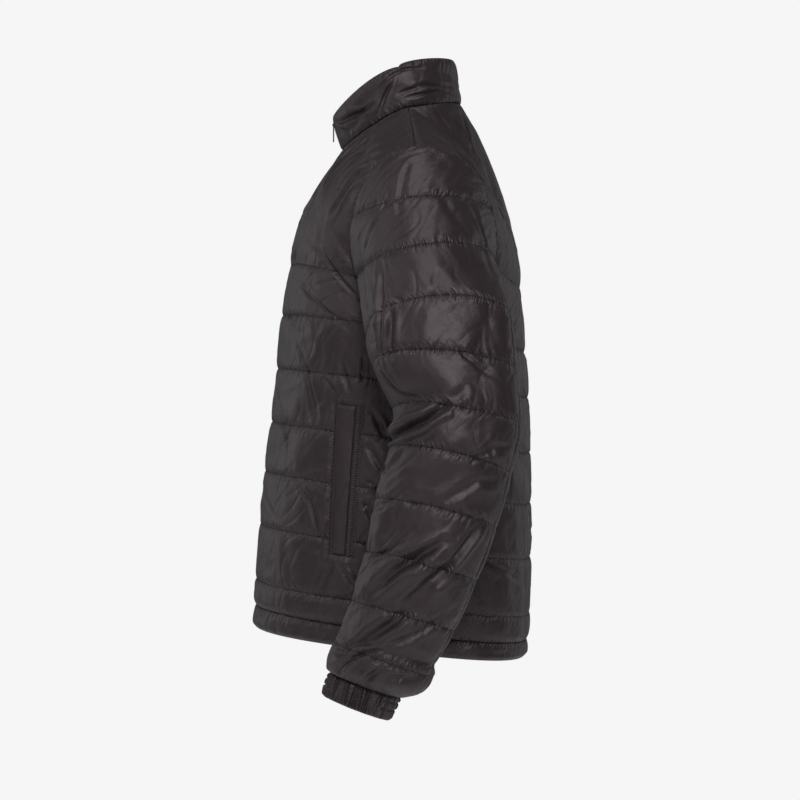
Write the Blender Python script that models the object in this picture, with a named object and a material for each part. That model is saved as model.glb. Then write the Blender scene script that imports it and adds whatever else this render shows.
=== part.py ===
"""Quilted track jacket with a stand collar, filled out as if worn, with no wearer inside.

Units are metres. +X is the wearer's left, -Y is the front and +Z is up. The origin is the point on
the jacket's middle plane, level with the shoulders, where a wearer carries it.
Every cloth panel is a grid of points on the line of its stitching. Its wall is that grid moved in
by the wall's thickness and moved out by the height of the padding between the stitch lines.
"""
import math
from typing import NamedTuple

import bpy
import numpy as np

MM = 0.001

# ---------------------------------------------------------------- driving sizes, in millimetres
SEAM_GAP = 0.3            # space between neighbouring pieces
WALL = 2.2                # shell, padding and lining pressed together at a stitch line
BODY_PUFF = 6.0           # height of the padding between two stitch lines on the body
SLEEVE_PUFF = 6.0
INNER_PUFF = 2.5          # padding where sleeve and body face each other
UNDERARM_PRESS = 0.9      # how far that padding is pressed flat beside the armhole
PLAIN_PUFF = 2.0          # padding of the unquilted areas
COLLAR_WALL = 4.0
HEM_WALL = 4.0
HEM_PUFF = 2.5
CUFF_WALL = 3.0
SIDE_Y = 24.0             # where the side seams and the sleeves' middle lie
ZIP_HALF = 5.0            # half of the space between the two fronts
FRONT_FULLNESS = 2.4      # exponents of the body's rounded-square section
BACK_FULLNESS = 3.0
SLEEVE_FRONT_SEAM = -20.0  # degrees round the sleeve, 0 at its front edge and 90 at its outer edge
SLEEVE_REAR_SEAM = 160.0

# ---------------------------------------------------------------- how finely the cloth is divided
CHANNEL_STEPS = 3         # grid rows in a quilted channel
NECK_FRONT_COLUMNS = 6
NECK_BACK_COLUMNS = 4
SHOULDER_COLUMNS = 6
FRONT_COLUMNS = NECK_FRONT_COLUMNS + SHOULDER_COLUMNS
BACK_COLUMNS = NECK_BACK_COLUMNS + SHOULDER_COLUMNS
UNDERARM_STEPS = 4        # armhole points from the underarm to the sleeve's seam
CAP_EDGE_STEPS = 6        # from there to the top of the cap's side
CAP_TOP_STEPS = 7         # from there to the shoulder
YOKE_STEPS = CAP_EDGE_STEPS + CAP_TOP_STEPS
UPPER_COLUMNS = 2 * CAP_TOP_STEPS
UNDER_COLUMNS = 2 * UNDERARM_STEPS
POCKET_COLUMN = 8         # the grid column that a pocket fills
CUFF_GATHERS = 24
COLLAR_STEPS = 6


class BodyLine(NamedTuple):
    """One level line of the body, in millimetres."""

    name: str
    level: float          # height where it crosses y = 0
    front: float          # y at the centre front
    back: float           # y at the centre back
    half_width: float
    tilt: float           # drop from front to back, as a share of y
    steps: int            # grid rows up to the next line


BODY_LINES = (
    BodyLine("hem_seam", -602, -173, 150, 193, 0.12, 2),
    BodyLine("line_7", -571, -170, 151, 196, 0.12, CHANNEL_STEPS),
    BodyLine("line_6", -504, -165, 152, 198, 0.12, CHANNEL_STEPS),
    BodyLine("line_5", -440, -159, 153, 200, 0.12, CHANNEL_STEPS),
    BodyLine("line_4", -380, -151, 152, 202, 0.12, CHANNEL_STEPS),
    BodyLine("line_3", -315, -144, 149, 205, 0.12, CHANNEL_STEPS),
    BodyLine("line_2", -256, -138, 145, 210, 0.16, UNDERARM_STEPS),
    BodyLine("line_1", -188, -128, 140, 208, 0.12, 0),
)


class PocketEnd(NamedTuple):
    """An end of the pocket: its height, and its two edges as shares of the front's width."""

    level: float
    start: float
    end: float


POCKET_TOP = PocketEnd(-340, 0.690, 0.775)
POCKET_BOTTOM = PocketEnd(-520, 0.675, 0.734)
HEM_LINES = (
    BodyLine("hem_edge", -625, -175, 149, 191, 0.10, 2),
    BODY_LINES[0],
)


class SleeveLine(NamedTuple):
    """One stitch line round the left sleeve, in millimetres and degrees."""

    name: str
    front_y: float
    front_z: float
    rear_y: float
    rear_z: float
    centre_x: float
    half_out: float       # half of its breadth away from the body
    tilt: float           # how far its outer edge is tipped up
    steps: int            # grid rows up to the next line


SLEEVE_LINES = (
    SleeveLine("cuff_seam", -76, -637, -2, -662, 278, 37, 2, 2),
    SleeveLine("line_10", -66, -605, 27, -636, 284, 43, 3, CHANNEL_STEPS),
    SleeveLine("line_9", -49, -557, 58, -588, 290, 47, 5, CHANNEL_STEPS),
    SleeveLine("line_8", -33, -503, 82, -534, 294, 52, 8, CHANNEL_STEPS),
    SleeveLine("line_7", -22, -446, 104, -476, 296, 56, 10, CHANNEL_STEPS),
    SleeveLine("line_6", -6, -389, 120, -418, 294, 59, 12, CHANNEL_STEPS),
    SleeveLine("line_5", -5, -343, 131, -364, 289, 57, 10, CHANNEL_STEPS),
    SleeveLine("line_4", -27, -294, 127, -307, 283, 54, 20, CHANNEL_STEPS),
    SleeveLine("line_3", -35, -258, 122, -248, 279, 52, 36, CHANNEL_STEPS),
)
CUFF_LINES = (
    SleeveLine("cuff_edge", -84, -663, -14, -690, 274, 34, 2, 5),
    SleeveLine("cuff_seam", -76, -637, -2, -662, 278, 36, 2, 0),
)
SLEEVE_LINE_2_CROWN = (291, 31, -165)    # outermost point of the stitch line across the cap
CAP_BULGE = np.array([12.0, 0, -9.0])    # how far the cap's middle swells out and sags
BACK_YOKE_FULLNESS = 1.4


class Swell(NamedTuple):
    """How far one grid row of the sleeve's end swells over the cuff, in millimetres."""

    row: int
    rearward: float       # move of its middle towards the rear
    growth: float         # growth of its half depth and half breadth


SLEEVE_END = (
    Swell(1, 5.0, 8.5),
    Swell(2, 3.5, 6.0),
)


class Armhole(NamedTuple):
    """The armhole seam: an upright oval on the side of the body, in millimetres and degrees."""

    middle_z: float = -150
    front_depth: float = 77    # half of its breadth, forward
    rear_depth: float = 82     # and backward
    half_height: float = 103
    bottom_x: float = 214
    front_dip: float = 28      # how far its front edge lies nearer the middle plane
    rear_dip: float = 34
    front_seam: float = 207    # turns round the oval, 90 at the shoulder, 270 at the underarm
    front_cap: float = 128
    shoulder: float = 95
    rear_seam: float = 344
    rear_cap: float = 412


ARMHOLE = Armhole()

NECK_FRONT = (ZIP_HALF, -70, -31)
NECK_SIDE = (85, 9.5, 12)
NECK_BACK = (0, 74, 24)
COLLAR_FRONT = (ZIP_HALF, -82, 9)
COLLAR_SIDE = (76, -2, 61)
COLLAR_BACK = (0, 66, 77)
FRONT_EDGE_HANDLES = ((ZIP_HALF, -124, -130), (ZIP_HALF, -88, -65))
BACK_MIDDLE_HANDLES = ((0, 138, -120), (0, 106, -30))


class Fold(NamedTuple):
    """One large crease, from one place on a panel to another.

    A place is a share of the panel's width and a share of its height. Sizes are in millimetres and
    a negative height is a trough.
    """

    start: tuple
    end: tuple
    height: float
    width: float


SLEEVE_FOLDS = (
    Fold((0.14, 0.52), (0.50, 0.56), -9, 13),      # opened crease inside the elbow
    Fold((0.16, 0.47), (0.48, 0.50), 5, 12),       # the lip below it
    Fold((0.10, 0.62), (0.14, 0.86), -5, 12),      # upright crease along the front
    Fold((0.20, 0.20), (0.62, 0.40), -5, 12),      # long creases down the forearm
    Fold((0.34, 0.14), (0.80, 0.34), 4, 14),
    Fold((0.12, 0.10), (0.55, 0.20), -4, 11),
    Fold((0.74, 0.55), (0.86, 0.72), -4, 13),
)
UNDER_SLEEVE_FOLDS = (
    Fold((0.60, 0.50), (0.95, 0.54), -4, 13),
    Fold((0.20, 0.25), (0.70, 0.38), -3, 13),
)
FRONT_FOLDS = (
    Fold((0.20, 0.97), (0.62, 0.66), 3.5, 14),     # drag lines from the neck to the armhole
    Fold((0.42, 0.90), (0.86, 0.72), -3.5, 12),
    Fold((0.10, 0.52), (0.45, 0.60), -3, 14),
    Fold((0.30, 0.24), (0.60, 0.34), -3, 14),
    Fold((0.72, 0.06), (0.94, 0.16), -3, 12),
)
BACK_HALF_FOLDS = (
    Fold((0.14, 0.86), (0.40, 0.66), -4, 13),      # from the shoulder blade down
    Fold((0.78, 0.96), (0.50, 0.74), 3.0, 13),
    Fold((0.55, 0.40), (0.90, 0.47), -3, 14),
    Fold((0.20, 0.22), (0.55, 0.30), -3, 14),
)
COLLAR_FOLDS = (
    Fold((0.10, 0.15), (0.24, 0.80), -3.5, 8),
    Fold((0.24, 0.90), (0.36, 0.20), 3.0, 8),
    Fold((0.36, 0.85), (0.50, 0.40), -3.0, 8),
    Fold((0.60, 0.25), (0.72, 0.85), -3.0, 8),
    Fold((0.78, 0.80), (0.90, 0.20), -3.5, 8),
)

# ---------------------------------------------------------------- front zip and pockets, millimetres
TAPE_BEHIND = 0.6         # gap between a front's inner side and the zip tape
TAPE_THICK = 1.0
TAPE_REACH = 10.0         # how far the tape runs behind the front
CHAIN_EDGE = 1.3          # gap between a front's edge and the teeth
CHAIN_PROUD = 2.0         # how far the teeth stand forward of a front's inner side
ZIP_TOP_SHORT = 1         # grid rows of the collar above the zip's top
SLIDER_WIDTH = 9.0
SLIDER_BELOW = 8.0        # how far the slider reaches down the closed teeth
SLIDER_ABOVE = 4.5
SLIDER_PLATE = 1.2
SLIDER_CLEAR = 0.3
SLIDER_REAR_CLEAR = 1.0   # room for the tapes where they bend behind the slider
POST_WIDTH = 3.0
PIN_RADIUS = 0.6
PIN_DROP = 2.0            # height of the pull tab's pin below the top of the teeth
LUG_RADIUS = 1.5
LUG_THICK = 1.0
PIN_OUT = 2.1             # pin's distance in front of the slider's face
EYE_RADIUS = 1.7
EYE_HOLE = 0.95
EYE_WIDTH = 3.0
TAB_LENGTH = 21.0
TAB_WIDTH = 5.6
TAB_THICK = 1.6
ROUND_SIDES = 20
WELT_THICK = 2.2
POCKET_ZIP_THICK = 1.4
WELT_RAISE = 0.5          # gap under what lies on a front
WELT_SHARES = (0.02, 0.68)         # of the pocket column's width
POCKET_ZIP_SHARES = (0.72, 0.98)
POCKET_ROWS = (4, 13)     # grid rows of the front that are pressed flat for a pocket
WELT_ENDS = (4.15, 12.55)  # where the welt ends, in grid rows

# ---------------------------------------------------------------- colours, linear RGB
CLOTH_COLOUR = (0.042, 0.036, 0.037)
ZIP_COLOUR = (0.030, 0.028, 0.029)
METAL_COLOUR = (0.16, 0.15, 0.15)


# ================================================================ curves and grids
def spread(points, shares):
    """Points on a polyline at the given shares of its length."""
    steps = np.linalg.norm(np.diff(points, axis=0), axis=1)
    along = np.concatenate(([0.0], np.cumsum(steps)))
    places = np.asarray(shares) * along[-1]
    return np.stack([np.interp(places, along, points[:, k]) for k in range(3)], axis=1)


def bezier(start, handle_a, handle_b, end, shares):
    """Points on a cubic curve, evenly spaced by length."""
    t = np.linspace(0, 1, 200)[:, None]
    corners = [np.array(p, float) for p in (start, handle_a, handle_b, end)]
    curve = ((1 - t) ** 3 * corners[0] + 3 * t * (1 - t) ** 2 * corners[1]
             + 3 * t ** 2 * (1 - t) * corners[2] + t ** 3 * corners[3])
    return spread(curve, shares)


def smooth_rows(table, steps):
    """Rows between the rows of a table, on a curve that passes through each of them."""
    table = np.asarray(table, float)
    padded = np.vstack((2 * table[0] - table[1], table, 2 * table[-1] - table[-2]))
    rows = []
    for k, count in enumerate(steps):
        before, here, after, beyond = padded[k:k + 4]
        for t in np.arange(count) / count:
            slope_a = (after - before) / 2
            slope_b = (beyond - here) / 2
            rows.append((2 * t ** 3 - 3 * t ** 2 + 1) * here + (t ** 3 - 2 * t ** 2 + t) * slope_a
                        + (3 * t ** 2 - 2 * t ** 3) * after + (t ** 3 - t ** 2) * slope_b)
    rows.append(table[-1])
    return np.array(rows)


def coons(bottom, top, left, right, shares, fullness=1.0):
    """Grid filled in between four edges; rows run from the bottom edge to the top edge.

    With a fullness over 1 the shape of the bottom edge is kept further up.
    """
    s = np.asarray(shares)[None, :, None]
    t = np.linspace(0, 1, len(left))[:, None, None] ** fullness
    bottom_bow = bottom[None] - ((1 - s) * bottom[0] + s * bottom[-1])
    top_bow = top[None] - ((1 - s) * top[0] + s * top[-1])
    ruled_across = (1 - s) * left[:, None] + s * right[:, None]
    return ruled_across + (1 - t) * bottom_bow + t * top_bow


def mirrored(grid):
    """The grid on the wearer's other side, with its columns turned round."""
    return grid[:, ::-1] * np.array([-1.0, 1.0, 1.0])


def front_shares(level):
    """Shares of the front's width at its grid columns, one of them kept for the pocket."""
    levels = (POCKET_BOTTOM.level, POCKET_TOP.level)
    start = np.interp(level, levels, (POCKET_BOTTOM.start, POCKET_TOP.start))
    end = np.interp(level, levels, (POCKET_BOTTOM.end, POCKET_TOP.end))
    before = np.linspace(0, start, POCKET_COLUMN + 1)
    after = np.linspace(end, 1, FRONT_COLUMNS - POCKET_COLUMN)
    return np.concatenate((before, after))


BACK_SHARES = np.linspace(0, 1, BACK_COLUMNS + 1)


# ================================================================ armhole, neck and shoulder
def armhole_points(front):
    """Points of the left armhole seam from the underarm up to the shoulder."""
    hole = ARMHOLE
    turns = ((270, hole.front_seam, hole.front_cap, hole.shoulder) if front
             else (270, hole.rear_seam, hole.rear_cap, hole.shoulder + 360))
    counts = (UNDERARM_STEPS, CAP_EDGE_STEPS, CAP_TOP_STEPS)
    parts = [np.linspace(turns[k], turns[k + 1], counts[k], endpoint=False) for k in range(3)]
    angle = np.radians(np.concatenate(parts + [[turns[3]]]))
    forward = np.cos(angle) < 0
    dip = np.where(forward, hole.front_dip, hole.rear_dip)
    depth = np.where(forward, hole.front_depth, hole.rear_depth)
    return np.stack((hole.bottom_x - dip * np.cos(angle) ** 2,
                     SIDE_Y + depth * np.cos(angle),
                     hole.middle_z + hole.half_height * np.sin(angle)), axis=1)


ARM_FRONT = armhole_points(front=True)
ARM_REAR = armhole_points(front=False)
SHOULDER_POINT = ARM_FRONT[-1]


def ring_quarter(centre_point, side_point, count, droop=1.2):
    """Rounded quarter of the neck or collar edge, from the centre line to the side.

    A larger droop keeps the edge level further from the side.
    """
    a = np.linspace(0, math.pi / 2, 60)[:, None]
    start = np.array(centre_point, float)
    end = np.array(side_point, float)
    x = start[0] + (end[0] - start[0]) * np.sin(a)
    y = end[1] + (start[1] - end[1]) * np.cos(a)
    z = end[2] + (start[2] - end[2]) * np.cos(a) ** droop
    return spread(np.hstack((x, y, z)), np.linspace(0, 1, count + 1))


def shoulder_seam():
    """Seam from the neck to the shoulder point, bowed up a little."""
    t = np.linspace(0, 1, SHOULDER_COLUMNS + 1)[:, None]
    line = (1 - t) * np.array(NECK_SIDE, float) + t * SHOULDER_POINT
    return line + np.array([0, 0, 5.0]) * np.sin(math.pi * t)


# ================================================================ body
def section(line, front, y_end, shares):
    """Points on a level line from the centre line to y_end, on the left side."""
    _, level, front_y, back_y, half_width, tilt = line[:6]
    middle = front_y if front else back_y
    fullness = FRONT_FULLNESS if front else BACK_FULLNESS
    start = math.asin((ZIP_HALF / half_width) ** (fullness / 2)) if front else 0.0
    reach = max(0.0, (y_end - SIDE_Y) / (middle - SIDE_Y))
    end = math.acos(min(1.0, reach) ** (fullness / 2))
    a = np.linspace(start, end, 120)
    x = half_width * np.sin(a) ** (2 / fullness)
    y = SIDE_Y + (middle - SIDE_Y) * np.abs(np.cos(a)) ** (2 / fullness)
    return spread(np.stack((x, y, level - tilt * y), axis=1), shares)


def quarter_grid(lines, front):
    """Rows of a quarter of the body from the lowest line up, out to side seam and armhole."""
    arm = ARM_FRONT if front else ARM_REAR
    steps = [line.steps for line in lines[:-1]]
    numbers = smooth_rows([line[1:6] for line in lines], steps)
    side_rows = len(numbers) - 1 - (UNDERARM_STEPS if lines is BODY_LINES else 0)
    rows = []
    for k, values in enumerate(numbers):
        climbed = k - side_rows if lines is BODY_LINES else 0
        target = arm[climbed] if climbed > 0 else None
        y_end = SIDE_Y if target is None else target[1]
        shares = front_shares(values[0]) if front else BACK_SHARES
        row = section((None, *values), front, y_end, shares)
        if climbed >= 0 and lines is BODY_LINES:
            row = row + (arm[climbed] - row[-1]) * (shares[:, None] ** 3)
        rows.append(row)
    return np.array(rows)


def front_grid():
    """Left front from the hem seam to the neck and shoulder, its columns from zip to side."""
    lower = quarter_grid(BODY_LINES, front=True)
    neck = ring_quarter(NECK_FRONT, NECK_SIDE, NECK_FRONT_COLUMNS)
    top = np.vstack((neck, shoulder_seam()[1:]))
    edge = bezier(lower[-1, 0], *FRONT_EDGE_HANDLES, NECK_FRONT, np.linspace(0, 1, YOKE_STEPS + 1))
    upper = coons(lower[-1], top, edge, ARM_FRONT[UNDERARM_STEPS:],
                  front_shares(BODY_LINES[-1].level))
    return np.vstack((lower, upper[1:]))


def back_half_grid():
    """Left half of the back, its columns from the centre line to the side."""
    lower = quarter_grid(BODY_LINES, front=False)
    neck = ring_quarter(NECK_BACK, NECK_SIDE, NECK_BACK_COLUMNS)
    top = np.vstack((neck, shoulder_seam()[1:]))
    edge = bezier(lower[-1, 0], *BACK_MIDDLE_HANDLES, NECK_BACK, np.linspace(0, 1, YOKE_STEPS + 1))
    upper = coons(lower[-1], top, edge, ARM_REAR[UNDERARM_STEPS:], BACK_SHARES,
                  BACK_YOKE_FULLNESS)
    return np.vstack((lower, upper[1:]))


def whole_back(half):
    """Back from the left side seam to the right one, from its left half."""
    return np.hstack((half[:, ::-1], mirrored(half)[:, ::-1][:, 1:]))


def collar_grid():
    """Stand collar from the left front edge round the back to the right front edge."""
    low = np.vstack((ring_quarter(NECK_FRONT, NECK_SIDE, NECK_FRONT_COLUMNS),
                     ring_quarter(NECK_BACK, NECK_SIDE, NECK_BACK_COLUMNS)[::-1][1:]))
    high = np.vstack((ring_quarter(COLLAR_FRONT, COLLAR_SIDE, NECK_FRONT_COLUMNS, 1.5),
                      ring_quarter(COLLAR_BACK, COLLAR_SIDE, NECK_BACK_COLUMNS, 0.5)[::-1][1:]))
    t = np.linspace(0, 1, COLLAR_STEPS + 1)[:, None, None]
    left = (1 - t) * low[None] + t * high[None]
    return np.hstack((left, mirrored(left)[:, 1:]))


# ================================================================ sleeves and cuffs
def ring_vectors(line):
    """Middle, half of the depth and half of the breadth of a sleeve ring, as one flat row."""
    front = np.array([line.centre_x, line.front_y, line.front_z], float)
    rear = np.array([line.centre_x, line.rear_y, line.rear_z], float)
    tilt = math.radians(line.tilt)
    out = line.half_out * np.array([math.cos(tilt), 0, math.sin(tilt)])
    return np.concatenate(((front + rear) / 2, (rear - front) / 2, out))


def ring_points(vectors, start, end, columns):
    """Points round a sleeve ring between two angles, evenly spaced by length."""
    a = np.radians(np.linspace(start, end, 240))[:, None]
    ring = vectors[0:3] - np.cos(a) * vectors[3:6] + np.sin(a) * vectors[6:9]
    return spread(ring, np.linspace(0, 1, columns + 1))


def sleeve_rows(start, end, columns):
    """Rows round the sleeve between two angles, from the cuff seam up."""
    steps = [line.steps for line in SLEEVE_LINES[:-1]]
    vectors = smooth_rows([ring_vectors(line) for line in SLEEVE_LINES], steps)
    for swell in SLEEVE_END:
        ring = vectors[swell.row]
        depth = ring[3:6] / np.linalg.norm(ring[3:6])
        breadth = ring[6:9] / np.linalg.norm(ring[6:9])
        ring[0:3] += depth * swell.rearward
        ring[3:6] += depth * swell.growth
        ring[6:9] += breadth * swell.growth
    return np.array([ring_points(v, start, end, columns) for v in vectors])


def upper_sleeve_grid():
    """Outer half of the left sleeve from the cuff to the top of the cap."""
    tube = sleeve_rows(SLEEVE_FRONT_SEAM, SLEEVE_REAR_SEAM, UPPER_COLUMNS)
    front_end = ARM_FRONT[UNDERARM_STEPS]
    rear_end = ARM_REAR[UNDERARM_STEPS]
    middle = (front_end + rear_end) / 2
    line_2 = ring_points(np.concatenate((middle, (rear_end - front_end) / 2,
                                         np.array(SLEEVE_LINE_2_CROWN) - middle)),
                         0, 180, UPPER_COLUMNS)
    t = (np.arange(1, CHANNEL_STEPS + 1) / CHANNEL_STEPS)[:, None, None]
    channel = (1 - t) * tube[-1][None] + t * line_2[None]
    cap_start = UNDERARM_STEPS + CAP_EDGE_STEPS
    top = np.vstack((ARM_FRONT[cap_start:], ARM_REAR[cap_start:][::-1][1:]))
    shares = np.linspace(0, 1, UPPER_COLUMNS + 1)
    cap = coons(line_2, top, ARM_FRONT[UNDERARM_STEPS:cap_start + 1],
                ARM_REAR[UNDERARM_STEPS:cap_start + 1], shares)
    rise = np.linspace(0, 1, CAP_EDGE_STEPS + 1)
    bulge = np.sin(math.pi * rise)[:, None] * np.sin(math.pi * shares)[None] ** 0.8
    cap = cap + bulge[:, :, None] * CAP_BULGE
    return np.vstack((tube, channel, cap[1:]))


def under_sleeve_grid():
    """Half of the left sleeve that faces the body, from the cuff to the underarm."""
    tube = sleeve_rows(SLEEVE_REAR_SEAM, SLEEVE_FRONT_SEAM + 360, UNDER_COLUMNS)
    top = np.vstack((ARM_REAR[UNDERARM_STEPS::-1], ARM_FRONT[1:UNDERARM_STEPS + 1]))
    t = (np.arange(1, CHANNEL_STEPS + 1) / CHANNEL_STEPS)[:, None, None]
    return np.vstack((tube, (1 - t) * tube[-1][None] + t * top[None]))


# ================================================================ height of the padding
def channel_puff(steps):
    """Puff of each row, 0 on the stitch lines and 1 halfway between them."""
    heights = []
    for count in steps:
        t = np.arange(count) / count
        heights.extend((4 * t * (1 - t)) ** 0.6)
    return np.array(heights + [0.0])


def side_fade(columns):
    """Puff of each column: none at the sewn sides, nearly all of it one column further in."""
    near = np.minimum(np.arange(columns + 1), np.arange(columns, -1, -1))
    return np.clip(near / 1.2, 0, 1) ** 0.6


def grid_lengths(grid):
    """Distances along the rows and up the columns of a grid, as two arrays."""
    across = np.linalg.norm(np.diff(grid, axis=1), axis=2)
    upward = np.linalg.norm(np.diff(grid, axis=0), axis=2)
    u = np.hstack((np.zeros((len(grid), 1)), np.cumsum(across, axis=1)))
    v = np.vstack((np.zeros((1, grid.shape[1])), np.cumsum(upward, axis=0)))
    return u, v


def fold_heights(grid, folds):
    """Height of the large creases at each grid point, faded out at the panel's edges."""
    u, v = grid_lengths(grid)
    rows, columns = u.shape
    total = np.zeros_like(u)
    for fold in folds:
        ends = []
        for across, up in (fold.start, fold.end):
            r = int(round(up * (rows - 1)))
            c = int(round(across * (columns - 1)))
            ends.append(np.array([u[r, c], v[r, c]]))
        run = ends[1] - ends[0]
        length = np.linalg.norm(run)
        share = ((u - ends[0][0]) * run[0] + (v - ends[0][1]) * run[1]) / length ** 2
        inside = np.clip(share, 0, 1)
        off = np.hypot(u - ends[0][0] - inside * run[0], v - ends[0][1] - inside * run[1])
        taper = 0.35 + 0.65 * np.sin(math.pi * inside)
        total += fold.height * taper * np.exp(-(off / fold.width) ** 2)
    row_fade = np.clip(np.minimum(np.arange(rows), np.arange(rows)[::-1]) / 2.0, 0, 1)
    column_fade = np.clip(np.minimum(np.arange(columns), np.arange(columns)[::-1]) / 2.0, 0, 1)
    return total * row_fade[:, None] * column_fade[None]


def body_puff(columns, facing):
    """Padding of a body panel; facing says how much each column faces a sleeve, 0 to 1."""
    steps = [line.steps for line in BODY_LINES[:-1]]
    rows = channel_puff(steps)
    full = BODY_PUFF + (INNER_PUFF - BODY_PUFF) * facing[None]
    yoke = PLAIN_PUFF * np.sin(math.pi * np.linspace(0, 1, YOKE_STEPS + 1)[1:]) ** 0.5
    heights = np.vstack((rows[:, None] * full, np.tile(yoke[:, None], (1, columns + 1))))
    underarm = len(rows) - 1 - UNDERARM_STEPS
    pressed = 1 - UNDERARM_PRESS * facing[None]
    heights[underarm - CHANNEL_STEPS:len(rows)] *= pressed
    return heights * side_fade(columns)[None]


def front_puff():
    """Padding of the left front, pressed flat under its pocket."""
    facing = np.clip(np.linspace(-5.0, 2.0, FRONT_COLUMNS + 1), 0, 1)
    heights = body_puff(FRONT_COLUMNS, facing)
    heights[:, 0] = 0
    heights[POCKET_ROWS[0]:POCKET_ROWS[1] + 1, POCKET_COLUMN:POCKET_COLUMN + 2] = 0
    return heights


def sleeve_puff(columns, cap_rows, height):
    """Padding of a sleeve panel; the under sleeve is pressed flat next to the armhole."""
    steps = [line.steps for line in SLEEVE_LINES[:-1]] + [CHANNEL_STEPS]
    rows = channel_puff(steps + [CHANNEL_STEPS] * (cap_rows // CHANNEL_STEPS))
    if cap_rows == 0:
        rows[-CHANNEL_STEPS:] *= 1 - UNDERARM_PRESS
    return height * rows[:, None] * side_fade(columns)[None]


# ================================================================ from grids to walls
class Panel:
    """One cut piece: its grid, the height of its padding and the thickness of its wall."""

    def __init__(self, group, grid, puff, wall, closed=False):
        self.group = group
        self.grid = grid
        self.puff = puff
        self.wall = wall
        self.closed = closed
        self.own_normals = grid_normals(grid, closed)
        self.normals = self.own_normals.copy()
        self.depth = np.full(grid.shape[:2], float(wall))

    def with_folds(self, folds):
        """The panel with its large creases pressed into it."""
        self.grid = self.grid + self.own_normals * fold_heights(self.grid, folds)[..., None]
        return self

    def mirror(self):
        """The same piece on the wearer's right side."""
        return Panel(self.group, mirrored(self.grid), self.puff[:, ::-1], self.wall, self.closed)


def grid_normals(grid, closed):
    """Unit vectors pointing out of a grid, averaged from the faces round each point."""
    wide = np.hstack((grid, grid[:, :1])) if closed else grid
    diagonal_a = wide[1:, 1:] - wide[:-1, :-1]
    diagonal_b = wide[1:, :-1] - wide[:-1, 1:]
    faces = np.cross(diagonal_a, diagonal_b)
    total = np.zeros_like(grid)
    for row_shift in (0, 1):
        for column_shift in (0, 1):
            rows = slice(row_shift, row_shift + faces.shape[0])
            if closed:
                total[rows] += np.roll(faces, column_shift, axis=1)
            else:
                total[rows, column_shift:column_shift + faces.shape[1]] += faces
    return total / np.linalg.norm(total, axis=2, keepdims=True)


def is_edge(panel, row, column):
    """True on the border of a panel's grid."""
    rows, columns = panel.grid.shape[:2]
    across = not panel.closed and column in (0, columns - 1)
    return across or row in (0, rows - 1)


def share_seam_normals(panels):
    """Give the points that panels share along a seam one direction, so that their edges meet."""
    meetings = {}
    for panel in panels.values():
        rows, columns = panel.grid.shape[:2]
        for r in range(rows):
            for c in range(columns):
                if is_edge(panel, r, c):
                    place = tuple(np.round(panel.grid[r, c] * 100).astype(int))
                    meetings.setdefault(place, []).append((panel, r, c))
    for visits in meetings.values():
        groups = {}
        for panel, r, c in visits:
            groups.setdefault(panel.group, []).append(panel.own_normals[r, c])
        total = np.zeros(3)
        for normals in groups.values():
            mean = np.sum(normals, axis=0)
            total += mean / np.linalg.norm(mean)
        size = np.linalg.norm(total)
        depth = np.mean([panel.wall for panel, _, _ in visits]) / max(size / len(groups), 0.7)
        for panel, r, c in visits:
            panel.normals[r, c] = total / size
            panel.depth[r, c] = depth


def gap_shifts(panel):
    """Vectors that draw a panel's edges back from its seams by half of the gap."""
    grid, normals = panel.grid, panel.normals
    shift = np.zeros_like(grid)
    edges = [(np.s_[0, :], 1), (np.s_[-1, :], -1)]
    if not panel.closed:
        edges += [(np.s_[:, 0], -1), (np.s_[:, -1], 1)]
    for edge, turn in edges:
        line = grid[edge]
        if panel.closed:
            along = np.roll(line, -1, axis=0) - np.roll(line, 1, axis=0)
        else:
            along = np.gradient(line, axis=0)
        inward = np.cross(normals[edge], along) * turn
        inward /= np.linalg.norm(inward, axis=1, keepdims=True)
        shift[edge] += inward * SEAM_GAP / 2
    return shift


def panel_sides(panel):
    """Outer and inner points of a panel's wall."""
    drawn = panel.grid + gap_shifts(panel)
    outer = drawn + panel.normals * panel.puff[..., None]
    inner = drawn - panel.normals * panel.depth[..., None]
    return outer, inner


# ================================================================ making the objects
def material(name, colour, roughness, metallic=0.0):
    """A Principled material."""
    made = bpy.data.materials.new(name)
    made.use_nodes = True
    shader = made.node_tree.nodes["Principled BSDF"]
    shader.inputs["Base Color"].default_value = (*colour, 1.0)
    shader.inputs["Roughness"].default_value = roughness
    shader.inputs["Metallic"].default_value = metallic
    return made


def mesh_object(name, vertices, faces, collection, finish):
    """An object from vertices in millimetres."""
    mesh = bpy.data.meshes.new(name)
    mesh.from_pydata((np.asarray(vertices) * MM).tolist(), [], faces)
    mesh.materials.append(finish)
    mesh.shade_smooth()
    mesh.set_sharp_from_angle(angle=math.radians(50))
    made = bpy.data.objects.new(name, mesh)
    collection.objects.link(made)
    return made


def seam_faces(start, end, count, places):
    """Two triangles of a wall's edge; neighbours split theirs along the same diagonal."""
    a, b = start, end
    if tuple(places[a]) < tuple(places[b]):
        return [[a, b, b + count], [a, b + count, a + count]]
    return [[a, b, a + count], [b, b + count, a + count]]


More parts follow.
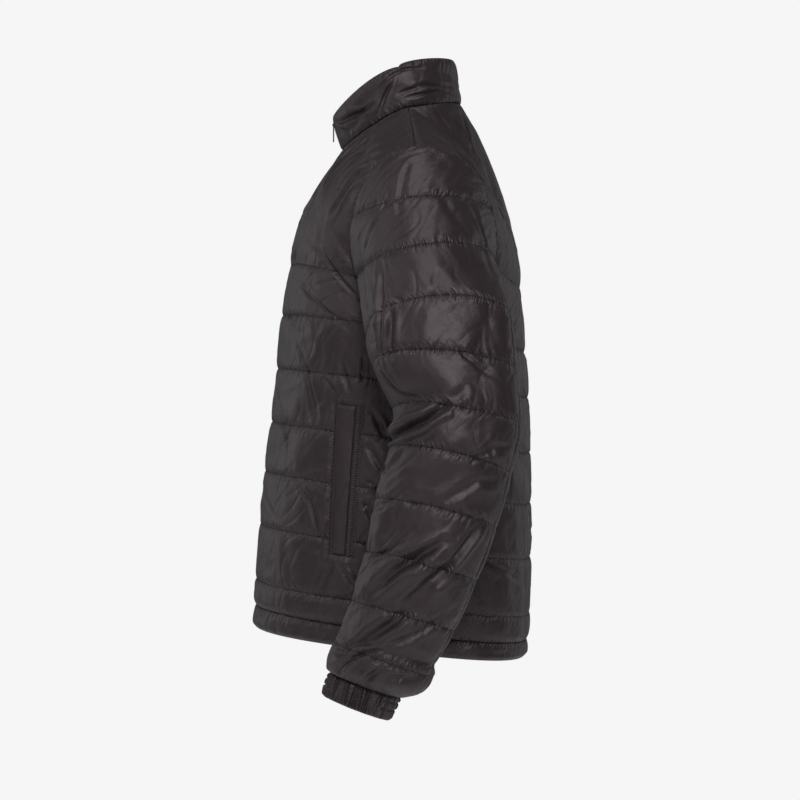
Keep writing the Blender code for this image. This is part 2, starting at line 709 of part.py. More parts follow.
def wall_object(name, panel, collection, finish):
    """The closed wall of a panel."""
    outer, inner = panel_sides(panel)
    rows, columns = outer.shape[:2]
    count = rows * columns
    number = np.arange(count).reshape(rows, columns)
    if panel.closed:
        number = np.hstack((number, number[:, :1]))
    number = number.tolist()
    wide = len(number[0])
    faces = []
    for r in range(rows - 1):
        for c in range(wide - 1):
            quad = [number[r][c], number[r][c + 1], number[r + 1][c + 1], number[r + 1][c]]
            faces.append(quad)
            faces.append([v + count for v in reversed(quad)])
    border = [(number[0][c + 1], number[0][c]) for c in range(wide - 1)]
    border += [(number[-1][c], number[-1][c + 1]) for c in range(wide - 1)]
    if not panel.closed:
        border += [(number[r][0], number[r + 1][0]) for r in range(rows - 1)]
        border += [(number[r + 1][-1], number[r][-1]) for r in range(rows - 1)]
    places = np.round(panel.grid.reshape(-1, 3) * 100).astype(int).tolist()
    for start, end in border:
        faces += seam_faces(start, end, count, places)
    points = np.vstack((outer.reshape(-1, 3), inner.reshape(-1, 3)))
    return mesh_object(name, points, faces, collection, finish)


def swept_object(name, sections, collection, finish):
    """A closed solid through matching outlines, with flat ends."""
    count, corners = sections.shape[:2]
    faces = []
    for k in range(count - 1):
        for c in range(corners):
            d = (c + 1) % corners
            faces.append([k * corners + c, k * corners + d, (k + 1) * corners + d,
                          (k + 1) * corners + c])
    faces.append(list(range(corners))[::-1])
    faces.append([(count - 1) * corners + c for c in range(corners)])
    return mesh_object(name, sections.reshape(-1, 3), faces, collection, finish)


# ================================================================ the pieces
def cuff_panel():
    """Left cuff: a closed ring gathered on rows of elastic."""
    steps = [line.steps for line in CUFF_LINES[:-1]]
    vectors = smooth_rows([ring_vectors(line) for line in CUFF_LINES], steps)
    columns = 2 * CUFF_GATHERS
    rows = np.array([ring_points(v, 0, 360, columns)[:-1] for v in vectors])
    waves = np.where(np.arange(columns) % 2 == 0, 1.0, 0.0)
    between = np.where(np.arange(len(rows)) % 2 == 1, 1.0, 0.35)
    between[0] = 0.7
    height = 2.0 * between[:, None] * waves[None]
    return Panel("cuff", rows, height, CUFF_WALL, closed=True)


def hem_panel(grid):
    """A length of hem band, rounded between its seam and its edge."""
    rise = np.sin(math.pi * np.linspace(0, 1, len(grid))) ** 0.7
    fade = side_fade(grid.shape[1] - 1)
    return Panel("body", grid, HEM_PUFF * rise[:, None] * fade[None], HEM_WALL)


def collar_panel():
    """The stand collar with a little padding."""
    grid = collar_grid()
    rise = np.sin(math.pi * np.linspace(0, 1, COLLAR_STEPS + 1)) ** 0.6
    fade = side_fade(grid.shape[1] - 1)
    panel = Panel("collar", grid, PLAIN_PUFF * rise[:, None] * fade[None], COLLAR_WALL)
    return panel.with_folds(COLLAR_FOLDS)


def cloth_panels():
    """Every cut piece of the shell, by name."""
    back_half = back_half_grid()
    hem_front = quarter_grid(HEM_LINES, front=True)
    hem_back = whole_back(quarter_grid(HEM_LINES, front=False))
    half_facing = np.clip(np.linspace(-3.0, 2.0, BACK_COLUMNS + 1), 0, 1)
    facing = np.concatenate((half_facing[::-1], half_facing[1:]))
    folded_half = Panel("body", back_half, np.zeros(back_half.shape[:2]), WALL)
    lift = fold_heights(back_half, BACK_HALF_FOLDS)
    back_grid = whole_back(back_half - folded_half.own_normals * lift[..., None])
    left = {
        "front": Panel("body", front_grid(), front_puff(), WALL).with_folds(FRONT_FOLDS),
        "hem_band_front": hem_panel(hem_front),
        "sleeve_upper": Panel("sleeve", upper_sleeve_grid(),
                              sleeve_puff(UPPER_COLUMNS, CAP_EDGE_STEPS, SLEEVE_PUFF),
                              WALL).with_folds(SLEEVE_FOLDS),
        "sleeve_under": Panel("sleeve", under_sleeve_grid(),
                              sleeve_puff(UNDER_COLUMNS, 0, INNER_PUFF),
                              WALL).with_folds(UNDER_SLEEVE_FOLDS),
    }
    panels = {}
    for name, panel in left.items():
        panels[name + "_left"] = panel
        panels[name + "_right"] = panel.mirror()
    panels["back"] = Panel("body", back_grid, body_puff(2 * BACK_COLUMNS, facing), WALL)
    panels["hem_band_back"] = hem_panel(hem_back)
    panels["collar"] = collar_panel()
    panels["cuff_left"] = cuff_panel()
    panels["cuff_right"] = cuff_panel().mirror()
    share_seam_normals(panels)
    return panels


def mirror_sections(sections):
    """Outlines of the same piece on the wearer's right side."""
    return sections[:, ::-1] * np.array([-1.0, 1.0, 1.0])


def zip_sections(panels):
    """Outlines, from the hem up, of the left zip tape with its row of teeth."""
    sections = []
    ranges = (("hem_band_front_left", 0, 3), ("front_left", 1, None),
              ("collar", 1, COLLAR_STEPS + 1 - ZIP_TOP_SHORT))
    tape_back = -TAPE_BEHIND - TAPE_THICK
    tooth_end = ZIP_HALF - CHAIN_EDGE
    outline = ((SEAM_GAP / 2, CHAIN_PROUD), (tooth_end, CHAIN_PROUD),
               (tooth_end, -TAPE_BEHIND), (ZIP_HALF + TAPE_REACH, -TAPE_BEHIND),
               (ZIP_HALF + TAPE_REACH, tape_back), (SEAM_GAP / 2, tape_back))
    for name, first, last in ranges:
        _, inner = panel_sides(panels[name])
        edge, beside = inner[first:last, 0], inner[first:last, 1]
        out = panels[name].normals[first:last, 0] * np.array([0.0, 1.0, 1.0])
        out /= np.linalg.norm(out, axis=1, keepdims=True)
        slope = (beside - edge) / (beside - edge)[:, :1]
        for place, run, normal in zip(edge, slope, out):
            middle = place * np.array([0.0, 1.0, 1.0])
            sections.append([middle + np.array([x, 0, 0]) + normal * height
                             + (run - np.array([1, 0, 0])) * max(0.0, x - place[0])
                             for x, height in outline])
    return np.array(sections)


def zip_top(panels):
    """Middle of the closed zip at its top, on the inner side of the collar."""
    _, inner = panel_sides(panels["collar"])
    place = inner[COLLAR_STEPS - ZIP_TOP_SHORT, 0].copy()
    place[0] = 0
    return place


def strip_sections(panel, shares, ends, thickness):
    """Outlines of a flat strip that lies on a front along its pocket column."""
    outer, _ = panel_sides(panel)
    places = np.linspace(ends[0], ends[1], int(ends[1] - ends[0]) + 2)
    places[1:-1] = np.round(places[1:-1])
    sections = []
    for row in places:
        low = int(row)
        part = row - low
        corners = []
        for share in shares:
            pair = outer[low:low + 2, POCKET_COLUMN:POCKET_COLUMN + 2]
            across = (1 - share) * pair[:, 0] + share * pair[:, 1]
            corners.append((1 - part) * across[0] + part * across[1])
        normal = panel.normals[low, POCKET_COLUMN]
        low_face = [corner + normal * WELT_RAISE for corner in corners]
        high_face = [corner + normal * (WELT_RAISE + thickness) for corner in corners]
        sections.append([low_face[0], high_face[0], high_face[1], low_face[1]])
    return np.array(sections)


# ================================================================ slider and pull tab
def placed(made, name, place, lean, collection, finish):
    """Name a new primitive and put it in its collection."""
    for old in list(made.users_collection):
        old.objects.unlink(made)
    collection.objects.link(made)
    made.name = name
    made.data.name = name
    made.data.materials.append(finish)
    made.location = [v * MM for v in place]
    made.rotation_euler = (lean, 0, 0)
    return made


def box(name, low, high, place, lean, collection, finish):
    """A box between two corners given in the piece's own axes, in millimetres."""
    bpy.ops.mesh.primitive_cube_add(size=1)
    made = bpy.context.object
    for corner in made.data.vertices:
        for k in range(3):
            share = corner.co[k] + 0.5
            corner.co[k] = (low[k] + (high[k] - low[k]) * share) * MM
    return placed(made, name, place, lean, collection, finish)


def rod(name, radius, half_length, centre, place, lean, collection, finish):
    """A round rod along X about a point given in the piece's own axes, in millimetres."""
    bpy.ops.mesh.primitive_cylinder_add(vertices=ROUND_SIDES, radius=radius * MM,
                                        depth=2 * half_length * MM)
    made = bpy.context.object
    for corner in made.data.vertices:
        x, y, z = corner.co
        corner.co = (z + centre[0] * MM, y + centre[1] * MM, -x + centre[2] * MM)
    return placed(made, name, place, lean, collection, finish)


def combine(target, tool, operation):
    """Join a tool to a piece, or cut the piece with it."""
    tool.display_type = "WIRE"
    tool.hide_render = True
    step = target.modifiers.new(tool.name, "BOOLEAN")
    step.operation = operation
    step.object = tool
    step.solver = "EXACT"


def build_slider(place, lean, jacket, cutters, metal):
    """Zip slider: two plates, the post that joins them, and two lugs with the tab's pin."""
    face = CHAIN_PROUD + SLIDER_CLEAR
    front = face + SLIDER_PLATE
    rear = -TAPE_BEHIND - TAPE_THICK - SLIDER_REAR_CLEAR
    half = SLIDER_WIDTH / 2
    slider = box("zip_slider", (-half, -front, -SLIDER_BELOW), (half, -face, SLIDER_ABOVE),
                 place, lean, jacket, metal)
    back_plate = box("slider_back_plate", (-half, -rear, -SLIDER_BELOW),
                     (half, -rear + SLIDER_PLATE, SLIDER_ABOVE), place, lean, cutters, metal)
    post = box("slider_post", (-POST_WIDTH / 2, -front + 0.4, SLIDER_CLEAR),
               (POST_WIDTH / 2, -rear + SLIDER_PLATE - 0.4, SLIDER_ABOVE - 0.4),
               place, lean, cutters, metal)
    pin_y = -front - PIN_OUT
    lug_middle = EYE_WIDTH / 2 + SLIDER_CLEAR + LUG_THICK / 2
    tools = [post, back_plate]
    for side in (-1, 1):
        x = side * lug_middle
        tools.append(box(f"slider_lug_{'r' if side < 0 else 'l'}",
                         (x - LUG_THICK / 2, pin_y, -PIN_DROP - LUG_RADIUS),
                         (x + LUG_THICK / 2, -front + 0.4, -PIN_DROP + LUG_RADIUS),
                         place, lean, cutters, metal))
        tools.append(rod(f"slider_lug_end_{'r' if side < 0 else 'l'}", LUG_RADIUS, LUG_THICK / 2,
                         (x, pin_y, -PIN_DROP), place, lean, cutters, metal))
    tools.append(rod("slider_pin", PIN_RADIUS, lug_middle, (0, pin_y, -PIN_DROP), place, lean,
                     cutters, metal))
    for tool in tools:
        combine(slider, tool, "UNION")
    return slider


def pin_place(place, lean):
    """World position of the pull tab's pin, in millimetres."""
    out = CHAIN_PROUD + SLIDER_CLEAR + SLIDER_PLATE + PIN_OUT
    y = place[1] - out * math.cos(lean) + PIN_DROP * math.sin(lean)
    z = place[2] - out * math.sin(lean) - PIN_DROP * math.cos(lean)
    return np.array([0.0, y, z])


def build_pull(pin, jacket, cutters, metal):
    """Pull tab that hangs from the slider's pin by an eye."""
    tab = box("zip_pull", (-TAB_WIDTH / 2, -TAB_THICK / 2, -TAB_LENGTH),
              (TAB_WIDTH / 2, TAB_THICK / 2, -EYE_RADIUS - 2.4), pin, 0, jacket, metal)
    neck = box("pull_neck", (-EYE_WIDTH / 2, -TAB_THICK / 2, -EYE_RADIUS - 3.0),
               (EYE_WIDTH / 2, TAB_THICK / 2, 0), pin, 0, cutters, metal)
    eye = rod("pull_eye", EYE_RADIUS, EYE_WIDTH / 2, (0, 0, 0), pin, 0, cutters, metal)
    hole = rod("pull_hole", EYE_HOLE, EYE_WIDTH, (0, 0, 0), pin, 0, cutters, metal)
    combine(tab, neck, "UNION")
    combine(tab, eye, "UNION")
    combine(tab, hole, "DIFFERENCE")
    return tab


def main():
    """Build the jacket."""
    for old in list(bpy.data.objects):
        bpy.data.objects.remove(old)
    jacket = bpy.data.collections.new("track_jacket")
    bpy.context.scene.collection.children.link(jacket)
    cutters = bpy.data.collections.new("track_jacket_cutters")
    bpy.context.scene.collection.children.link(cutters)
    cloth = material("shell_cloth", CLOTH_COLOUR, 0.55)
    elastic = material("cuff_elastic", CLOTH_COLOUR, 0.65)
    tape = material("zip_tape", ZIP_COLOUR, 0.6)
    metal = material("zip_metal", METAL_COLOUR, 0.35, 0.8)
    panels = cloth_panels()
    for name, panel in panels.items():
        wall_object(name, panel, jacket, elastic if panel.closed else cloth)
    pieces = {
        "zip": (zip_sections(panels), tape),
        "pocket_welt": (strip_sections(panels["front_left"], WELT_SHARES, WELT_ENDS,
                                       WELT_THICK), cloth),
        "pocket_zip": (strip_sections(panels["front_left"], POCKET_ZIP_SHARES, WELT_ENDS,
                                      POCKET_ZIP_THICK), tape),
    }
    for name, (sections, finish) in pieces.items():
        swept_object(name + "_left", sections, jacket, finish)
        swept_object(name + "_right", mirror_sections(sections), jacket, finish)
    lean = math.atan2(NECK_FRONT[1] - COLLAR_FRONT[1], COLLAR_FRONT[2] - NECK_FRONT[2])
    top = zip_top(panels)
    build_slider(top, lean, jacket, cutters, metal)
    build_pull(pin_place(top, lean), jacket, cutters, metal)


main()
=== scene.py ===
"""Quilted track jacket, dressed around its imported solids, filled out as if worn with no wearer.

Every cut piece is a grid of points on the line of its stitching, worked out from the sizes of the
cut. Padding, puckers along the stitch lines and creases move that grid out along its own normals.
Tables and grids are in millimetres, meshes in metres. +X is the wearer's left, -Y the front, +Z up.
"""
from __future__ import annotations

import logging
import math
from dataclasses import dataclass, field
from enum import Enum
from typing import Any, Sequence

import bpy
import numpy as np
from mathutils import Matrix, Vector

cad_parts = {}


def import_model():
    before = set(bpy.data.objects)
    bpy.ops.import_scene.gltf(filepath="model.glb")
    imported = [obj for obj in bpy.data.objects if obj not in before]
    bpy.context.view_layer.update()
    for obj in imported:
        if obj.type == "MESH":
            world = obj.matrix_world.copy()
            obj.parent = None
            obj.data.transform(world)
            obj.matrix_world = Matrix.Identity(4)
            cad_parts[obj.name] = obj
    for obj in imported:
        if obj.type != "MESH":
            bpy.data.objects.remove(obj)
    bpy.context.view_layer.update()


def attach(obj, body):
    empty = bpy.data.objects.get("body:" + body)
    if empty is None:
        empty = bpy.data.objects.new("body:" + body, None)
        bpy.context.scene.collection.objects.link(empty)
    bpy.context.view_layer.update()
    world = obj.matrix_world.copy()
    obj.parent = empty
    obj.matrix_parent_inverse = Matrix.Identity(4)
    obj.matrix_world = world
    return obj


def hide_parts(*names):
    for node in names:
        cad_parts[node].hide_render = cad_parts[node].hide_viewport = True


Array = np.ndarray
Place = tuple[float, float, float]
Colour = tuple[float, float, float]
# Points and faces.
Shape = tuple[Array, Array]
LOG = logging.getLogger("track_jacket")
MM = 0.001
TINY = 1e-9
# A distance in millimetres that counts as far from any sewing.
FAR = 40.0
# What turns a point over to the wearer's other side, and what moves it to the middle plane.
FLIP = np.array([-1.0, 1.0, 1.0])
ON_MIDDLE = np.array([0.0, 1.0, 1.0])
# How many grid steps stand for one step of the solid's grid, up and across a panel.
UP = 8
ACROSS = 12
# How many points a curve, a neck quarter and a ring have before they are spread evenly.
CURVE_POINTS, QUARTER_POINTS, RING_POINTS = 600, 400, 1200
# How fast the corner of a yoke's top edge comes back towards that edge.
CORNER_POWER = 7
# The choice of each piece's random ripples.
SEEDS = {"front_left": 1000, "front_right": 3000, "back": 5000, "collar": 15000,
         "hem_band_front_left": 7000, "hem_band_front_right": 7300, "hem_band_back": 7600,
         "sleeve_left": 9000, "sleeve_right": 12000, "pocket_welt": 21000}


class Side(Enum):
    """The wearer's side, with the sign of its X."""

    LEFT = 1
    RIGHT = -1

    @property
    def word(self) -> str:
        """The side as the end of a name."""
        return self.name.lower()

    def shape(self, points: Array, faces: Array) -> Shape:
        """A left-hand shape on this side of the jacket.

        Args:
            points, faces: the left-hand shape.
        Returns:
            The shape on this side.
        """
        if self is Side.RIGHT:
            return points * FLIP, faces[:, ::-1]
        return points, faces


# ======== the cut
@dataclass(frozen=True)
class BodyLine:
    """One level line of the body, in millimetres."""

    level: float
    front: float
    back: float
    half_width: float
    tilt: float
    steps: int

    def numbers(self) -> list[float]:
        """The five sizes of the line."""
        return [self.level, self.front, self.back, self.half_width, self.tilt]


@dataclass(frozen=True)
class SleeveLine:
    """One stitch line round the left sleeve, in millimetres and degrees."""

    front_y: float
    front_z: float
    rear_y: float
    rear_z: float
    centre_x: float
    half_out: float
    tilt: float
    steps: int

    def numbers(self) -> Array:
        """Middle, half depth and half breadth of the ring, as one row of nine numbers.

        Returns:
            The nine numbers.
        """
        front = np.array([self.centre_x, self.front_y, self.front_z])
        rear = np.array([self.centre_x, self.rear_y, self.rear_z])
        tilt = math.radians(self.tilt)
        out = self.half_out * np.array([math.cos(tilt), 0, math.sin(tilt)])
        return np.concatenate(((front + rear) / 2, (rear - front) / 2, out))


@dataclass(frozen=True)
class Armhole:
    """The armhole seam: an upright oval on the side of the body."""

    middle_z: float = -150
    front_depth: float = 77
    rear_depth: float = 82
    half_height: float = 103
    bottom_x: float = 214
    front_dip: float = 28
    rear_dip: float = 34
    front_seam: float = 207
    front_cap: float = 128
    shoulder: float = 95
    rear_seam: float = 344
    rear_cap: float = 412


BODY_LINES = (
    BodyLine(-602, -173, 150, 193, 0.12, 2),
    BodyLine(-571, -170, 151, 196, 0.12, 3),
    BodyLine(-504, -165, 152, 198, 0.12, 3),
    BodyLine(-440, -159, 153, 200, 0.12, 3),
    BodyLine(-380, -151, 152, 202, 0.12, 3),
    BodyLine(-315, -144, 149, 205, 0.12, 3),
    BodyLine(-256, -138, 145, 210, 0.16, 4),
    BodyLine(-188, -128, 140, 208, 0.12, 0),
)
HEM_LINES = (BodyLine(-625, -175, 149, 191, 0.10, 2), BODY_LINES[0])
SLEEVE_LINES = (
    SleeveLine(-76, -637, -2, -662, 278, 37, 2, 2),
    SleeveLine(-66, -605, 27, -636, 284, 43, 3, 3),
    SleeveLine(-49, -557, 58, -588, 290, 47, 5, 3),
    SleeveLine(-33, -503, 82, -534, 294, 52, 8, 3),
    SleeveLine(-22, -446, 104, -476, 296, 56, 10, 3),
    SleeveLine(-6, -389, 120, -418, 294, 59, 12, 3),
    SleeveLine(-5, -343, 131, -364, 289, 57, 10, 3),
    SleeveLine(-27, -294, 127, -307, 283, 54, 20, 3),
    SleeveLine(-35, -258, 122, -248, 279, 52, 36, 3),
)
CUFF_LINES = (
    SleeveLine(-84, -663, -14, -690, 274, 34, 2, 5),
    SleeveLine(-76, -637, -2, -662, 278, 36, 2, 0),
)


# ======== curves and grids
def run_lengths(points: Array) -> Array:
    """Distance of each of a polyline's points from its first, along it."""
    return np.concatenate(([0.0], np.cumsum(np.linalg.norm(np.diff(points, axis=0), axis=1))))


def at_lengths(values: Array, lengths: Array, places: Array) -> Array:
    """Values of a polyline's points, at places given by their distance along it."""
    return np.stack([np.interp(places, lengths, column) for column in values.T], axis=1)


def spread(points: Array, shares: Array) -> Array:
    """Points on a polyline at the given shares of its length, 0 to 1."""
    lengths = run_lengths(points)
    return at_lengths(points, lengths, np.asarray(shares) * lengths[-1])


def unit(vectors: Array) -> Array:
    """The vectors along the last axis, each made 1 long."""
    return vectors / np.maximum(np.linalg.norm(vectors, axis=-1, keepdims=True), TINY)


def smooth_step(t: Array) -> Array:
    """0 to 1 turned into a curve that is level at both ends: three squares less two cubes."""
    return t * t * (3 - 2 * t)


def eased_in(t: Array) -> Array:
    """0 to 1 turned into a curve that rises fast and ends level: (2 t less t squared) to 0.8."""
    return (t * (2 - t)) ** 0.8


def bezier(corners: Sequence[Place], shares: Array) -> Array:
    """Points on the cubic curve of four corners, evenly spaced by length at shares from 0 to 1.

    Args:
        corners: the curve's four corners.
        shares: places along it.
    Returns:
        One point a share.
    """
    t = np.linspace(0, 1, CURVE_POINTS)[:, None]
    a, b, c, d = (np.array(p, float) for p in corners)
    curve = (1 - t) ** 3 * a + 3 * t * (1 - t) ** 2 * b + 3 * t ** 2 * (1 - t) * c + t ** 3 * d
    return spread(curve, shares)


def eased(count: int) -> Array:
    """Even steps from 0 up to 1, the last left out, drawn closer together at both ends."""
    t = np.arange(count) / count
    return 0.6 * t + 0.4 * (1 - np.cos(np.pi * t)) / 2


def smooth_rows(lines: Sequence[BodyLine | SleeveLine]) -> Array:
    """Rows of numbers up a set of lines, on a cubic curve that passes through each line's own.

    Args:
        lines: the lines from the lowest up, each with its coarse steps to the next.
    Returns:
        The rows, with the last line's at the end.
    """
    known = np.array([line.numbers() for line in lines], float)
    padded = np.vstack((2 * known[0] - known[1], known, 2 * known[-1] - known[-2]))
    rows = []
    for k, line in enumerate(lines[:-1]):
        before, here, after, beyond = padded[k:k + 4]
        t = eased(line.steps * UP)[:, None]
        slope_a, slope_b = (after - before) / 2, (beyond - here) / 2
        rows.append((2 * t ** 3 - 3 * t ** 2 + 1) * here + (t ** 3 - 2 * t ** 2 + t) * slope_a
                    + (3 * t ** 2 - 2 * t ** 3) * after + (t ** 3 - t ** 2) * slope_b)
    return np.vstack((*rows, known[-1:]))


def line_rows(steps: Sequence[int]) -> list[int]:
    """Grid rows of stitch lines that lie these numbers of coarse steps apart."""
    return np.concatenate(([0], np.cumsum(np.array(steps) * UP))).tolist()


BODY_ROWS = line_rows([line.steps for line in BODY_LINES[:-1]])


def refined(values: Sequence[float], count: int) -> Array:
    """Each step between neighbouring values split into a number of even steps."""
    places = np.arange((len(values) - 1) * count + 1) / count
    return np.interp(places, np.arange(len(values)), values)


def rounded(line: Array, reach: int) -> Array:
    """The line with its corners rounded and its ends kept: running means, taken three times.

    Args:
        line: points, one a row.
        reach: how many points a mean takes in on each side.
    Returns:
        As many points.
    """
    for _ in range(3):
        wide = np.vstack((2 * line[0] - line[reach:0:-1], line,
                          2 * line[-1] - line[-2:-reach - 2:-1]))
        sums = np.cumsum(np.vstack((np.zeros((1, 3)), wide)), axis=0)
        line = (sums[2 * reach + 1:] - sums[:-2 * reach - 1]) / (2 * reach + 1)
    return line


def coons(bottom: Array, top: Array, left: Array, right: Array, shares: Array, rise: Array,
          fullness: float = 1.0, corner: int = 0) -> Array:
    """Grid filled in between four edges; rows run from the bottom edge to the top edge.

    Each row is the straight line between the side edges, plus the bow of the bottom edge fading
    out upwards and the bow of the top edge fading in.
    Args:
        bottom, top, left, right: the edges.
        shares: place of each column from the left edge to the right edge.
        rise: place of each row from the bottom edge to the top edge.
        fullness: over 1 keeps the bottom edge's bow further up.
        corner: columns over which a corner of the top edge is rounded below that edge.
    Returns:
        Rows by columns by 3.
    """
    s = np.asarray(shares)[None, :, None]
    t = rise[:, None, None] ** fullness
    bottom_bow = bottom[None] - ((1 - s) * bottom[0] + s * bottom[-1])
    top_bow = top[None] - ((1 - s) * top[0] + s * top[-1])
    if corner:
        keep = rise[:, None, None] ** CORNER_POWER
        top_bow = keep * top_bow + (1 - keep) * rounded(top_bow[0], corner)[None]
    return (1 - s) * left[:, None] + s * right[:, None] + (1 - t) * bottom_bow + t * top_bow


def mirrored(grid: Array) -> Array:
    """The grid on the wearer's other side, with its columns turned round."""
    return grid[:, ::-1] * FLIP


def grid_lengths(grid: Array) -> tuple[Array, Array]:
    """Distances in millimetres along the rows and up the columns of a grid.

    Args:
        grid: rows by columns by 3.
    Returns:
        Both distances at each point.
    """
    across = np.linalg.norm(np.diff(grid, axis=1), axis=2)
    upward = np.linalg.norm(np.diff(grid, axis=0), axis=2)
    return (np.pad(np.cumsum(across, axis=1), ((0, 0), (1, 0))),
            np.pad(np.cumsum(upward, axis=0), ((1, 0), (0, 0))))


def grid_normals(grid: Array, closed: bool = False) -> Array:
    """Unit vectors pointing out of a grid: the mean cross product of the faces at each point.

    Args:
        grid: rows by columns by 3.
        closed: whether the last column joins the first.
    Returns:
        One vector a point.
    """
    wide = np.hstack((grid, grid[:, :1])) if closed else grid
    faces = np.cross(wide[1:, 1:] - wide[:-1, :-1], wide[1:, :-1] - wide[:-1, 1:])
    total = np.zeros_like(grid)
    for down in (0, 1):
        rows = slice(down, down + faces.shape[0])
        for right in (0, 1):
            if closed:
                total[rows] += np.roll(faces, right, axis=1)
            else:
                total[rows, right:right + faces.shape[1]] += faces
    return total / np.linalg.norm(total, axis=2, keepdims=True)


@dataclass(frozen=True)
class Cut:
    """The jacket's cut: the grids of its left pieces and of those that cross the middle."""

    zip_half: float = 5.0
    side_y: float = 24.0
    front_fullness: float = 2.4
    back_fullness: float = 3.0
    sleeve_front_seam: float = -20.0
    sleeve_rear_seam: float = 160.0
    neck_front_columns: int = 6
    neck_back_columns: int = 4
    shoulder_columns: int = 6
    underarm_steps: int = 4
    cap_edge_steps: int = 6
    cap_top_steps: int = 7
    channel_steps: int = 3
    collar_steps: int = 6
    pocket_column: int = 8
    pocket_levels: tuple[float, float] = (-520, -340)
    pocket_starts: tuple[float, float] = (0.675, 0.690)
    pocket_ends: tuple[float, float] = (0.734, 0.775)
    pocket_reach: tuple[int, int] = (-4, 13)
    armhole: Armhole = Armhole()
    neck_front: Place = (5.0, -70, -31)
    neck_side: Place = (85, 9.5, 12)
    neck_back: Place = (0, 74, 24)
    collar_front: Place = (5.0, -82, 9)
    collar_side: Place = (76, -2, 61)
    collar_back: Place = (0, 66, 77)
    front_handles: tuple[Place, Place] = ((5.0, -124, -130), (5.0, -88, -65))
    back_handles: tuple[Place, Place] = ((0, 138, -120), (0, 106, -30))
    shoulder_bow: float = 5.0
    back_yoke_fullness: float = 1.4
    corner_columns: int = 14
    cap_crown: Place = (291, 31, -165)
    cap_bulge: Place = (12.0, 0, -9.0)
    end_rearward: tuple[float, ...] = (0, 5.0, 3.5, 0)
    end_growth: tuple[float, ...] = (0, 8.5, 6.0, 0)

    def front_shares(self, level: float) -> Array:
        """Shares of the front's width at its columns at one height.

        Args:
            level: the height.
        Returns:
            Shares from 0 to 1.
        """
        columns = self.neck_front_columns + self.shoulder_columns
        start = np.interp(level, self.pocket_levels, self.pocket_starts)
        end = np.interp(level, self.pocket_levels, self.pocket_ends)
        known = np.concatenate((np.linspace(0, start, self.pocket_column + 1),
                                np.linspace(end, 1, columns - self.pocket_column)))
        return refined(known, ACROSS)

    def back_shares(self) -> Array:
        """Shares of the back's half width at its columns."""
        columns = (self.neck_back_columns + self.shoulder_columns) * ACROSS
        return np.linspace(0, 1, columns + 1)

    def arm_edge(self, front: bool) -> Array:
        """Points of the left armhole seam from the underarm up to the shoulder.

        The seam is an oval seen from the side, and dips towards the body as the square of the
        cosine of the turn.
        Args:
            front: whether its front half.
        Returns:
            One point a row.
        """
        hole = self.armhole
        turns = ((270, hole.front_seam, hole.front_cap, hole.shoulder) if front
                 else (270, hole.rear_seam, hole.rear_cap, hole.shoulder + 360))
        counts = (self.underarm_steps * UP, self.cap_edge_steps * UP, self.cap_top_steps * ACROSS)
        parts = [np.linspace(turns[k], turns[k + 1], counts[k], endpoint=False)
                 for k in range(3)]
        angle = np.radians(np.concatenate(parts + [[turns[3]]]))
        forward = np.cos(angle) < 0
        dip = np.where(forward, hole.front_dip, hole.rear_dip)
        depth = np.where(forward, hole.front_depth, hole.rear_depth)
        return np.stack((hole.bottom_x - dip * np.cos(angle) ** 2,
                         self.side_y + depth * np.cos(angle),
                         hole.middle_z + hole.half_height * np.sin(angle)), axis=1)

    def ring_quarter(self, centre: Place, side: Place, count: int, droop: float = 1.2) -> Array:
        """Rounded quarter of the neck or collar edge, from the centre line to the side.

        x grows as a sine, y as a cosine, and z as the cosine to the power of the droop.
        Args:
            centre, side: its two ends.
            count: its coarse columns.
            droop: power of the drop.
        Returns:
            One point a row.
        """
        a = np.linspace(0, math.pi / 2, QUARTER_POINTS)[:, None]
        start, end = np.array(centre, float), np.array(side, float)
        x = start[0] + (end[0] - start[0]) * np.sin(a)
        y = end[1] + (start[1] - end[1]) * np.cos(a)
        z = end[2] + (start[2] - end[2]) * np.cos(a) ** droop
        return spread(np.hstack((x, y, z)), np.linspace(0, 1, count * ACROSS + 1))

    def shoulder_seam(self) -> Array:
        """Seam from the neck to the shoulder point, bowed up as a half sine.

        Returns:
            One point a row.
        """
        t = np.linspace(0, 1, self.shoulder_columns * ACROSS + 1)[:, None]
        line = (1 - t) * np.array(self.neck_side, float) + t * self.arm_edge(True)[-1]
        return line + np.array([0, 0, self.shoulder_bow]) * np.sin(math.pi * t)

    def section(self, values: Array, front: bool, y_end: float, shares: Array) -> Array:
        """Points on a level line of the body, a rounded square, from the centre out to y_end.

        Args:
            values: the line's five sizes.
            front: whether on the front.
            y_end: depth at which it ends.
            shares: places along it.
        Returns:
            One point a share.
        """
        level, front_y, back_y, half_width, tilt = values
        middle = front_y if front else back_y
        power = 2 / (self.front_fullness if front else self.back_fullness)
        start = math.asin((self.zip_half / half_width) ** (1 / power)) if front else 0.0
        reach = max(0.0, (y_end - self.side_y) / (middle - self.side_y))
        a = np.linspace(start, math.acos(min(1.0, reach) ** (1 / power)), RING_POINTS)
        x = half_width * np.sin(a) ** power
        y = self.side_y + (middle - self.side_y) * np.abs(np.cos(a)) ** power
        return spread(np.stack((x, y, level - tilt * y), axis=1), shares)

